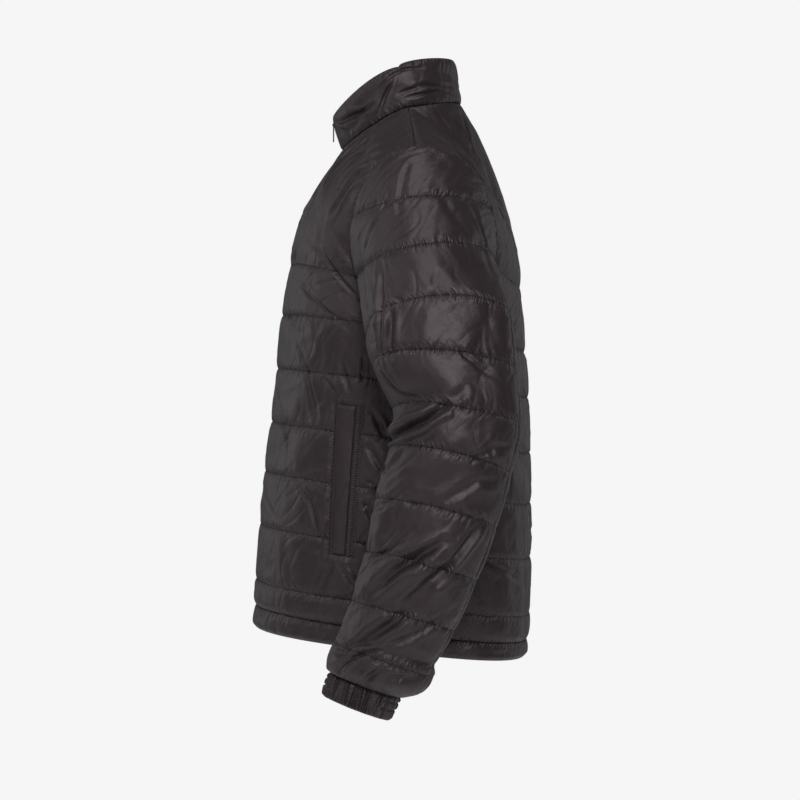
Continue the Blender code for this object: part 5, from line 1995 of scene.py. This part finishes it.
@dataclass
class Sleeve:
    """One sleeve: its outer and under halves and its cuff.

    The cuff's rows of sewing are shares of its height, and its fullness is how much longer its
    cloth is than its seam.
    """

    cut: Cut
    side: Side
    puff: float = 6.0
    under_puff: float = 2.4
    edge_share: float = 0.8
    facing_share: float = 0.12
    wall: float = 2.2
    seam_lift: float = 4.2
    seam_reach: float = 6.5
    cap_sink: float = 1.2
    cuff_wall: float = 3.0
    cuff_round: float = 225.0
    cuff_gather: float = 4.1
    cuff_depth: float = 3.8
    cuff_columns: int = 48
    cuff_fullness: float = 1.45
    cuff_rows: tuple[float, float] = (0.44, 0.74)
    pinch: float = 0.42
    pinch_reach: float = 0.035

    @staticmethod
    def lines(cap: bool) -> list[int]:
        """Grid rows of the stitch lines, up to the underarm or to the top of the cap."""
        return line_rows([line.steps for line in SLEEVE_LINES[:-1]]
                         + [Cut.channel_steps] * (3 if cap else 1))

    def seed(self) -> int:
        """Choice of this sleeve's random ripples."""
        return SEEDS[f"sleeve_{self.side.word}"]

    def finished(self, relief: Relief, part: str, sink: float) -> Panel:
        """A half of the sleeve brought down to its seams, the long ones raised to the underarm.

        Args:
            relief: the half's relief.
            part: upper or under.
            sink: depth of the groove along its seams.
        Returns:
            The panel.
        """
        edge = self.seam_lift * window(len(relief.u), self.lines(False)[-1])
        relief.settle(self.seam_reach, {"left": edge, "right": edge, "top": 0.0, "bottom": 0.0},
                      sink)
        return relief.panel(f"sleeve_{part}_{self.side.word}_cloth", "sleeve", self.wall,
                            self.side)

    def upper(self) -> Panel:
        """The outer half with the cap.

        Returns:
            The panel.
        """
        relief = Relief(folded(self.cut.upper_sleeve(), SLEEVE_FOLDS), self.seed())
        lines = self.lines(True)
        relief.pad(lines, np.full(relief.u.shape[1], self.puff), size=1.8, reach=5.5)
        relief.edge_puckers("top", size=2.8, reach=15)
        cap = slice(lines[-3], None)
        relief.edge_puckers("left", size=2.2, reach=12, rows=cap)
        relief.edge_puckers("right", size=2.6, reach=13, rows=cap)
        relief.crease(SLEEVE_CREASES if self.side is Side.LEFT
                      else jittered(SLEEVE_CREASES, self.seed()), edge=10)
        return self.finished(relief, "upper", self.cap_sink)

    def under(self) -> Panel:
        """The half that faces the body, its last channel nearly flat.

        Returns:
            The panel.
        """
        relief = Relief(folded(self.cut.under_sleeve(), UNDER_SLEEVE_FOLDS), self.seed() + 1500)
        lines = self.lines(False)
        reach = relief.u[lines[4]]
        off = np.minimum(reach, reach[-1] - reach)
        edge_puff = self.puff * self.edge_share
        puff = self.under_puff + (edge_puff - self.under_puff) * np.exp(-off / 14)
        relief.pad(lines[:-1], puff, size=1.4, reach=5)
        relief.height[lines[-2]] = 0
        relief.pad(lines[-2:], puff * self.facing_share, size=0.4, reach=5)
        relief.crease(jittered(UNDER_CREASES, self.seed() + 2), edge=10)
        return self.finished(relief, "under", 0.6)

    def cuff(self) -> Panel:
        """The elastic cuff: long uneven gathers, pinched at two rows of sewing.

        A gather is the size of a sine round the cuff to the power 0.85, whose turns drift and lean.
        Returns:
            The panel.
        """
        columns = self.cuff_columns * ACROSS
        grid = np.array([self.cut.ring(v, 0, 360, columns)[:-1] for v in smooth_rows(CUFF_LINES)])
        u, v = grid_lengths(grid)
        share, turn = v / v[-1:], 2 * math.pi * u / (u[:, -1:] + u[:, 1:2])
        seed = self.seed()
        drift = (0.9 * np.sin(3 * turn + seed) + 0.6 * np.sin(7 * turn + 2.0)
                 + 0.4 * np.sin(19 * turn + seed * 0.7))
        lean = 0.7 * np.sin(5 * turn + 1.0) + 0.5 * np.sin(11 * turn + seed)
        count = int(round(self.cuff_round / self.cuff_gather))
        phase = count * turn / (2 * math.pi) + drift + lean * (share - 0.5)
        ridge = np.abs(np.sin(math.pi * phase)) ** 0.85
        uneven = 0.8 + 0.25 * np.sin(13 * turn + 3 * share + seed) + 0.15 * np.sin(29 * turn)
        pinch = sum(np.exp(-((share - row) / self.pinch_reach) ** 2) for row in self.cuff_rows)
        ends = np.clip(np.minimum(share / 0.10, (1 - share) / 0.12), 0, 1) ** 0.5
        swell = 0.3 + 0.5 * np.sin(math.pi * share)
        height = (swell + self.cuff_depth * ridge * uneven) * ends * (1 - self.pinch * pinch)
        if self.side is Side.RIGHT:
            grid, height = mirrored(grid), height[:, ::-1]
        return Panel(f"cuff_{self.side.word}_cloth", "cuff", grid, height, self.cuff_wall,
                     "cuff_elastic", True, fullness=self.cuff_fullness)


@dataclass
class Collar:
    """The stand collar."""

    cut: Cut
    puff: float = 2.2
    wall: float = 4.0
    edge_lift: float = 0.4
    seam_reach: float = 7.0

    def panel(self) -> Panel:
        """The collar, rounded at its top edge and creased.

        Returns:
            The panel.
        """
        relief = Relief(folded(self.cut.collar(), COLLAR_FOLDS), SEEDS["collar"])
        rise = relief.v / relief.v[-1:]
        relief.height += self.puff * np.clip(np.sin(math.pi * rise), 0, 1) ** 0.4
        relief.height += relief.near_edge(9) * (0.5 * relief.spots(27, 1)
                                                + 0.25 * relief.facets(17, 2, 0.2))
        relief.edge_puckers("bottom", size=1.2, reach=6)
        relief.edge_puckers("top", size=0.5, reach=4)
        relief.crease(COLLAR_CREASES, edge=7)
        relief.settle(self.seam_reach, {"left": self.edge_lift, "right": self.edge_lift,
                                        "top": 0.0, "bottom": 0.0})
        return relief.panel("collar_cloth", "collar", self.wall)


@dataclass
class Pocket:
    """A side pocket: its welt, and the strip with the zip beside it.

    Its ends are coarse rows of the front. The welt's and the zip's shares are those of the pocket
    column's width, the seam's of the welt's. A coil bar's shares are its length of the strip's
    width and its width of the pitch. All of it is worked out on the left front.
    """

    cut: Cut
    side: Side
    ends: tuple[float, float] = (4.15, 12.55)
    welt_shares: tuple[float, float] = (-0.30, 0.70)
    welt_steps: int = 15
    welt_thick: float = 3.6
    seam_share: float = 0.14
    seam_width: float = 0.05
    seam_depth: float = 0.9
    seam_pitch: float = 2.4
    zip_shares: tuple[float, float] = (0.73, 1.04)
    zip_steps: int = 7
    zip_level: float = 2.2
    gap: float = 0.5
    coil_pitch: float = 2.5
    coil_shares: tuple[float, float] = (0.86, 0.55)
    coil_high: float = 1.4
    tick_pitch: float = 3.0
    tick_sizes: tuple[float, float] = (1.3, 1.4)
    tick_reach: tuple[float, float] = (4.2, 4.0)
    tick_level: float = 0.5
    front_lift: float = 0.8
    bar_pitch: float = 1.6

    def rows(self) -> tuple[int, int]:
        """The front's grid rows at the pocket's lower and upper end."""
        return int(self.ends[0] * UP), int(self.ends[1] * UP)

    def strip(self, front: Panel, shares: tuple[float, float], steps: int) -> tuple[Array, Array]:
        """Points and normals of a strip over the pocket column of the left front.

        Args:
            front: the left front.
            shares: the strip's two edges as shares of the column's width.
            steps: how many steps across it.
        Returns:
            A grid on the cloth and the direction out at each of its rows.
        """
        column = self.cut.pocket_column * ACROSS
        low, high = self.rows()
        base = front.grid[low:high + 1]
        place = column + ACROSS * np.linspace(*shares, steps + 1)
        left = np.floor(place).astype(int)
        part = (place - left)[None, :, None]
        return ((1 - part) * base[:, left] + part * base[:, left + 1],
                front.normals[low:high + 1, column + ACROSS // 2])

    def bar(self, grid: Array, normals: Array, heights: Array) -> Shape:
        """A closed bar on a strip, with a flat underside and the given height at each point.

        Args:
            grid: points of the strip.
            normals: the direction out at each row.
            heights: height of each point.
        Returns:
            Points and faces.
        """
        top = grid + normals[:, None] * heights[..., None]
        low = grid[:, [-1, 0]] + normals[:, None] * self.gap
        return rings_shape(np.concatenate((top, low), axis=1))

    def welt(self, front: Panel) -> Shape:
        """The welt: a level strip with rounded edges, sewn down along its front edge.

        Args:
            front: the left front.
        Returns:
            Points and faces.
        """
        grid, normals = self.strip(front, self.welt_shares, self.welt_steps)
        share = np.linspace(0, 1, self.welt_steps + 1)
        along = grid_lengths(grid)[1][:, :1]
        profile = np.clip(np.sin(math.pi * (0.03 + 0.94 * share)), 0, 1) ** 0.3
        uneven = 1 + 0.10 * ripple(along, 24, SEEDS["pocket_welt"] + self.side.value)
        seam = self.seam_depth * np.exp(-((share - self.seam_share) / self.seam_width) ** 2)
        heights = self.welt_thick * profile[None] * uneven - seam[None]
        heights += 0.25 * mottle(share[None] * 20 + 0 * along, along, 13,
                                 SEEDS["pocket_welt"] + 100)
        end = np.minimum(along, along[-1:] - along)
        heights = self.gap + np.maximum(heights, 0.2) * (1 - 0.5 * np.exp(-end / 1.5))
        top = grid + normals[:, None] * heights[..., None]
        return join_parts((self.bar(grid, normals, heights),
                           stitches(top[2:-2, 2], normals[2:-2], self.seam_pitch)))

    def welt_size(self, front: Panel) -> tuple[float, float]:
        """Mean width and length of the welt in metres."""
        u, v = grid_lengths(self.strip(front, self.welt_shares, 4)[0])
        return float(u[:, -1].mean()) * MM, float(v[-1].mean()) * MM

    def edge_ticks(self, line: Array, normals: Array, reach: float) -> Shape:
        """Short stitches across an edge, as a zigzag leaves them, two ways in turn.

        Args:
            line: points of the edge.
            normals: the direction out at each.
            reach: length of a stitch.
        Returns:
            Points and faces.
        """
        places, run, out = along_line(line, normals, self.tick_pitch)
        run = unit(run)
        lean = np.where(np.arange(len(places)) % 2 == 0, 0.5, -0.5)[:, None]
        return lozenges(places + out * self.tick_level, np.cross(run, out) + run * lean, out,
                        (reach, *self.tick_sizes))

    def tape(self, front: Panel) -> Shape:
        """The tape of the strip beside the welt, a little higher in its middle.

        Args:
            front: the left front.
        Returns:
            Points and faces.
        """
        grid, normals = self.strip(front, self.zip_shares, self.zip_steps)
        across = np.sin(math.pi * np.linspace(0, 1, self.zip_steps + 1))
        return self.bar(grid, normals, np.tile(self.zip_level + 0.2 * across, (len(grid), 1)))

    def coil(self, front: Panel) -> Shape:
        """The coil of the pocket's zip: short bars across the middle of its tape.

        Args:
            front: the left front.
        Returns:
            Points and faces.
        """
        grid, normals = self.strip(front, self.zip_shares, self.zip_steps)
        middle = (grid[:, 3] + grid[:, 4]) / 2 + normals * (self.zip_level + 0.4)
        places, _, out = along_line(middle, normals, self.coil_pitch)
        wide, _, _ = along_line(grid[:, -1] - grid[:, 0] + middle, normals, self.coil_pitch)
        width = float(np.linalg.norm(grid[5, -1] - grid[5, 0]))
        long, thick = self.coil_shares
        return lozenges(places, wide[:len(places)] - places, out,
                        (width * long, self.coil_pitch * thick, self.coil_high))

    def sewing(self, front: Panel) -> Shape:
        """Stitches on the front beside the zip strip, and a short bar of them at each end.

        Args:
            front: the left front.
        Returns:
            Points and faces.
        """
        column = self.cut.pocket_column * ACROSS
        low, high = self.rows()[0] - 2, self.rows()[1] + 3
        outer, normals = front.outer(), front.normals
        first, last = (column + k for k in self.cut.pocket_reach)
        beside, before = outer[low:high, last], outer[low:high, first]
        lines = [self.edge_ticks(beside, normals[low:high, last], self.tick_reach[0]),
                 self.edge_ticks(before + normals[low:high, first] * self.front_lift,
                                 normals[low:high, first], self.tick_reach[1])]
        span = slice(first, last + 1)
        for row in (low, low + 1, high - 1, high):
            lines.append(stitches(outer[row, span], normals[row, span], self.bar_pitch))
        return join_parts(lines)


@dataclass
class FrontZip:
    """The front zip: a tape and a row of coil teeth on each side, the slider and its pull.

    A span is a lowest and a highest level. A detail is a rounded block's power, rings and turns.
    """

    cut: Cut
    behind: float = 0.6
    tape_thick: float = 1.0
    tape_edge: float = 0.15
    reach: float = 10.0
    tooth_end: float = 3.7
    tooth_overlap: float = 0.9
    tooth_pitch: float = 1.45
    tooth_level: float = 0.75
    tooth_share: float = 0.62
    tooth_high: float = 2.2
    top_rows: int = 5
    slider_place: Place = (0.0, -76.20, 3.418)
    slider_lean: float = math.radians(16.699)
    slider_half: float = 4.5
    slider_below: float = 8.0
    slider_above: float = 4.5
    plate: float = 1.2
    plate_detail: tuple[float, int, int] = (0.3, 14, 28)
    face: float = 2.3
    rear_clear: float = 1.0
    bite: float = 0.4
    post_half: float = 1.5
    post_span: tuple[float, float] = (0.3, 4.1)
    pin_out: float = 2.1
    pin_drop: float = 2.0
    pin_radius: float = 0.6
    lug_middle: float = 2.3
    lug_half: float = 0.5
    lug_radius: float = 1.5
    tab_span: tuple[float, float] = (-21.0, -4.1)
    tab_half: float = 2.8
    tab_thick: float = 0.8
    tab_detail: tuple[float, int, int] = (0.32, 16, 32)
    neck_span: tuple[float, float] = (-5.2, -1.2)
    neck_half: float = 1.5
    neck_thick: float = 0.75
    eye_radius: float = 1.7
    eye_hole: float = 0.95

    def path(self, hem: Panel, front: Panel, collar: Panel) -> tuple[Array, Array, Array]:
        """The closed zip's middle from the hem up, on the inner side of the left pieces.

        Args:
            hem, front, collar: the left pieces that it runs up.
        Returns:
            Its points, the directions out, and the slope of the cloth beside it.
        """
        places, outs, slopes = [], [], []
        for panel, first, last in ((hem, 0, None), (front, 1, None),
                                   (collar, 1, self.top_rows * UP + 1)):
            inner = panel.lining()
            edge, beside = inner[first:last, 0], inner[first:last, ACROSS]
            places.append(edge)
            outs.append(unit(panel.normals[first:last, 0] * ON_MIDDLE))
            slopes.append((beside - edge) / (beside - edge)[:, :1])
        return np.vstack(places), np.vstack(outs), np.vstack(slopes)

    def tape(self, path: tuple[Array, Array, Array], side: Side) -> Shape:
        """One tape: a thin strip behind the front that bends with it.

        Args:
            path: the zip's middle.
            side: the wearer's side.
        Returns:
            Points and faces.
        """
        edge, out, slope = path
        columns, (front, back) = [], (-self.behind, -self.behind - self.tape_thick)
        bends = (self.tape_edge, self.cut.zip_half, self.cut.zip_half + self.reach)
        for x, height in [(x, front) for x in bends] + [(x, back) for x in bends[::-1]]:
            beyond = np.maximum(0.0, x - edge[:, :1])
            columns.append(edge * ON_MIDDLE + np.array([x, 0, 0])
                           + out * height + (slope - np.array([1, 0, 0])) * beyond)
        points, faces = rings_shape(np.stack(columns, axis=1))
        return side.shape(points, faces[:, ::-1])

    def teeth(self, path: tuple[Array, Array, Array], side: Side) -> Shape:
        """One row of teeth across the zip, half a pitch out of step with the other row.

        Args:
            path: the zip's middle.
            side: the wearer's side.
        Returns:
            Points and faces.
        """
        edge, out, _ = path
        places, run, normal = along_line(edge * ON_MIDDLE, out, self.tooth_pitch)
        step = 0.25 * side.value * self.tooth_pitch
        long = self.tooth_end + self.tooth_overlap
        centre = np.array([side.value * (self.tooth_end - long / 2), 0, 0])
        across = np.tile([1.0, 0.0, 0.0], (len(places), 1))
        return lozenges(places + unit(run) * step + normal * self.tooth_level + centre, across,
                        normal, (long, self.tooth_pitch * self.tooth_share, self.tooth_high))

    def slider(self) -> Shape:
        """Two plates, the post that joins them, two lugs and the pull's pin.

        Returns:
            Points and faces.
        """
        front = self.face + self.plate
        rear = -self.behind - self.tape_thick - self.rear_clear
        half, low, high = self.slider_half, -self.slider_below, self.slider_above
        pin_y, pin_z = -front - self.pin_out, -self.pin_drop
        parts = [
            rounded_block((-half, -front, low), (half, -self.face, high), *self.plate_detail),
            rounded_block((-half, -rear, low), (half, -rear + self.plate, high),
                          *self.plate_detail),
            rounded_block(
                (-self.post_half, -front + self.bite, self.post_span[0]),
                (self.post_half, -rear + self.plate - self.bite, self.post_span[1])),
            rod_along_x(self.pin_radius, self.lug_middle, (0, pin_y, pin_z)),
        ]
        for x in (-self.lug_middle, self.lug_middle):
            parts.append(rod_along_x(self.lug_radius, self.lug_half, (x, pin_y, pin_z)))
            parts.append(rounded_block(
                (x - self.lug_half, pin_y, pin_z - self.lug_radius),
                (x + self.lug_half, -front + self.bite, pin_z + self.lug_radius), 0.25))
        points, faces = join_parts(parts)
        cos, sin = math.cos(self.slider_lean), math.sin(self.slider_lean)
        turned = np.stack((points[:, 0], points[:, 1] * cos - points[:, 2] * sin,
                           points[:, 1] * sin + points[:, 2] * cos), axis=1)
        return turned + np.array(self.slider_place), faces

    def pull(self) -> Shape:
        """The pull tab, with the eye that hangs on the slider's pin.

        Returns:
            Points and faces.
        """
        out = self.face + self.plate + self.pin_out
        cos, sin = math.cos(self.slider_lean), math.sin(self.slider_lean)
        pin = np.array([0, self.slider_place[1] - out * cos + self.pin_drop * sin,
                        self.slider_place[2] - out * sin - self.pin_drop * cos])
        points, faces = join_parts((
            rounded_block((-self.tab_half, -self.tab_thick, self.tab_span[0]),
                          (self.tab_half, self.tab_thick, self.tab_span[1]), *self.tab_detail),
            rounded_block((-self.neck_half, -self.neck_thick, self.neck_span[0]),
                          (self.neck_half, self.neck_thick, self.neck_span[1]), 0.3),
            rod_along_x(self.eye_radius, self.neck_half, (0, 0, 0), self.eye_hole)))
        return points + pin, faces


# ======== the whole jacket
@dataclass
class Jacket:
    """Every piece of the jacket, each on the CAD node that it stands for."""

    cut: Cut = field(default_factory=Cut)
    finishes: Finishes = field(default_factory=Finishes)
    panels: dict[str, Panel] = field(default_factory=dict)

    def work_out(self) -> None:
        """Works out every panel and the directions that they share along their seams."""
        body = Body(self.cut)
        found = [body.front(Side.LEFT), body.front(Side.RIGHT), body.back(),
                 *(body.hem_band(part) for part in ("front_left", "front_right", "back")),
                 Collar(self.cut).panel()]
        for side in Side:
            sleeve = Sleeve(self.cut, side)
            found += [sleeve.upper(), sleeve.under(), sleeve.cuff()]
        share_directions(found)
        self.panels = {panel.name.removesuffix("_cloth"): panel for panel in found}

    def place(self, piece: bpy.types.Object, slot: str, node: str = "", body: str = "shell"
              ) -> None:
        """Puts a piece on its body, in place of a CAD node where one is named, and reports it.

        Args:
            piece: the piece's object.
            slot: its slot; not used.
            node: the CAD node that it stands for.
            body: the body that it rides on.
        """
        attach(piece, body)
        if node:
            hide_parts(node)
        LOG.info("%s: %d faces", piece.name, len(piece.data.polygons))

    def add(self, name: str, shape: Shape, finish: bpy.types.Material, slot: str, node: str = "",
            body: str = "shell") -> bpy.types.Object:
        """Builds a piece from points and faces, smooth all over, and puts it in its place.

        Args:
            name: the piece's name.
            shape: its points and faces.
            finish: its material.
            slot: its slot, passed on to place, where it is not used.
            node: the CAD node that it stands for.
            body: the body that it rides on.
        Returns:
            The piece's object.
        """
        points, faces = shape
        maps = {"cloth": points[:, 1:], "sewing": np.full((len(points), 2), FAR)}
        piece = build_mesh(name, points, [(faces, 0, True)], [finish], maps)
        self.place(piece, slot, node, body)
        return piece

    def sew(self) -> None:
        """Builds the cloth panels with their rows of stitches."""
        for node, panel in self.panels.items():
            cloth = panel.build((self.finishes.shell, self.finishes.lining))
            self.place(cloth, panel.slot, node)
            rows = self.stitch_lines(node, panel)
            added = [self.add(f"{node}_stitching", join_parts(rows), self.finishes.thread,
                              panel.slot)] if rows else []
            width, length, area = panel.flat_size()
            panel.held
            min(area, width * length)

    def stitch_lines(self, node: str, panel: Panel) -> list[Shape]:
        """The rows of stitches on one panel.

        Args:
            node: the panel's CAD node.
            panel: the panel.
        Returns:
            Points and faces of each row.
        """
        rows: list[int] = []
        if node.startswith(("front", "back")):
            rows = BODY_ROWS[1:]
        elif node.startswith("sleeve"):
            rows = Sleeve.lines("upper" in node)[1:-1]
        outer = panel.outer()
        return [stitches(outer[row, 3:-3], panel.normals[row, 3:-3]) for row in rows]

    def pocket(self, side: Side) -> None:
        """Builds one pocket.

        Args:
            side: the wearer's side.
        """
        done, left, pocket = self.finishes, self.panels["front_left"], Pocket(self.cut, side)
        node, strip = f"pocket_welt_{side.word}", f"pocket_zip_{side.word}"
        welt = self.add(f"{node}_cloth", side.shape(*pocket.welt(left)), done.shell,
                        "shell_cloth", node)
        pocket.welt_size(left)
        self.add(f"{strip}_tape", side.shape(*pocket.tape(left)), done.tape, "zip_tape", strip)
        self.add(f"{strip}_coil", side.shape(*pocket.coil(left)), done.zigzag, "zip_tape")
        self.add(f"{strip}_sewing", side.shape(*pocket.sewing(left)), done.zigzag, "zip_tape")

    def fasten(self) -> None:
        """Builds the pockets and the front zip."""
        for side in Side:
            self.pocket(side)
        done, closure = self.finishes, FrontZip(self.cut)
        path = closure.path(self.panels["hem_band_front_left"], self.panels["front_left"],
                            self.panels["collar"])
        for side in Side:
            node = f"zip_{side.word}"
            self.add(f"{node}_tape", closure.tape(path, side), done.tape, "zip_tape", node)
            self.add(f"{node}_teeth", closure.teeth(path, side), done.teeth, "zip_tape")
        self.add("zip_slider_metal", closure.slider(), done.metal, "zip_metal", "zip_slider")
        self.add("zip_pull_metal", closure.pull(), done.metal, "zip_metal", "zip_pull",
                 "pull_tab")


# ======== studio
@dataclass(frozen=True)
class Lamp:
    """A soft rectangular light, in metres and watts."""

    name: str
    place: Place
    aim: Place
    size: tuple[float, float]
    power: float

    def build(self) -> None:
        """Adds the light."""
        data = bpy.data.lights.new(self.name, "AREA")
        data.shape = "RECTANGLE"
        data.size, data.size_y = self.size
        data.energy = self.power
        lamp = bpy.data.objects.new(self.name, data)
        lamp.location = self.place
        way = Vector(self.aim) - Vector(self.place)
        lamp.rotation_euler = way.to_track_quat("-Z", "Y").to_euler()
        bpy.context.scene.collection.objects.link(lamp)


@dataclass(frozen=True)
class Studio:
    """Pale floor, soft lights, surroundings and camera."""

    lamps: tuple[Lamp, ...] = (
        Lamp("front_light", (0.6, -2.6, 1.4), (0, 0, -0.35), (0.9, 1.3), 12),
        Lamp("front_side_light", (2.4, -1.9, 0.1), (0, 0, -0.45), (0.8, 1.2), 6),
        Lamp("front_rim", (-1.3, -2.4, 0.1), (0, 0, -0.4), (1.0, 1.8), 8),
        Lamp("rear_rim", (-1.5, 2.4, 0.1), (0, 0, -0.4), (1.0, 1.8), 6),
        Lamp("top_light", (0.8, -0.1, 2.0), (0, 0, 0), (0.9, 1.2), 16),
        Lamp("side_light", (2.8, 0.4, 1.1), (0, 0, -0.4), (0.8, 1.0), 48),
    )
    backdrop: float = 0.92
    ambient: float = 0.07
    camera_place: Place = (3.0, 0.0, -0.3355)
    lens: float = 110.7
    floor_level: float = -1.42
    floor_radius: float = 3.3
    floor_glow: float = 0.22
    floor_corners: int = 64

    def build(self) -> None:
        """Adds everything."""
        for lamp in self.lamps:
            lamp.build()
        self.surroundings()
        self.camera()
        self.floor()
        bpy.context.scene.view_settings.view_transform = "Standard"

    def surroundings(self) -> None:
        """A pale backdrop that lights the scene more weakly than it looks."""
        world = bpy.data.worlds.new("studio")
        world.use_nodes = True
        bpy.context.scene.world = world
        tree = world.node_tree
        tree.nodes.clear()
        path = tree.nodes.new("ShaderNodeLightPath")
        mix = tree.nodes.new("ShaderNodeMixShader")
        output = tree.nodes.new("ShaderNodeOutputWorld")
        for number, strength in ((1, self.ambient), (2, self.backdrop)):
            shade = tree.nodes.new("ShaderNodeBackground")
            shade.inputs["Color"].default_value = (1, 1, 1, 1)
            shade.inputs["Strength"].default_value = strength
            tree.links.new(shade.outputs[0], mix.inputs[number])
        tree.links.new(path.outputs["Is Camera Ray"], mix.inputs[0])
        tree.links.new(mix.outputs[0], output.inputs[0])

    def camera(self) -> None:
        """The photograph's point of view, from the wearer's left."""
        data = bpy.data.cameras.new("camera")
        data.lens, data.sensor_width = self.lens, 36.0
        camera = bpy.data.objects.new("camera", data)
        camera.location = self.camera_place
        camera.rotation_euler = (math.pi / 2, 0, math.pi / 2)
        bpy.context.scene.collection.objects.link(camera)
        bpy.context.scene.camera = camera

    def floor(self) -> None:
        """A pale disc under the jacket."""
        turn = np.linspace(0, 2 * math.pi, self.floor_corners, endpoint=False)
        ring = np.stack((np.cos(turn), np.sin(turn), 0 * turn), axis=1)
        points = ring * self.floor_radius / MM + np.array([0, 0, self.floor_level / MM])
        graph = Graph("pale_floor")
        finish = graph.finish(
            Base_Color=graph.mix_colour(graph.noise(40, 2.0), (0.86,) * 3, (0.90,) * 3),
            Roughness=0.8, Emission_Color=(1, 1, 1, 1), Emission_Strength=self.floor_glow)
        face = np.arange(self.floor_corners)[None]
        build_mesh("studio_floor", points, [(face, 0, False)], [finish])


def main() -> None:
    """Builds the jacket's pieces in order and reports each of them."""
    logging.basicConfig(level=logging.INFO, format="%(message)s")
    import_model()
    jacket = Jacket()
    jacket.work_out()
    jacket.sew()
    jacket.fasten()
    Studio().build()


if __name__ == "__main__":
    main()
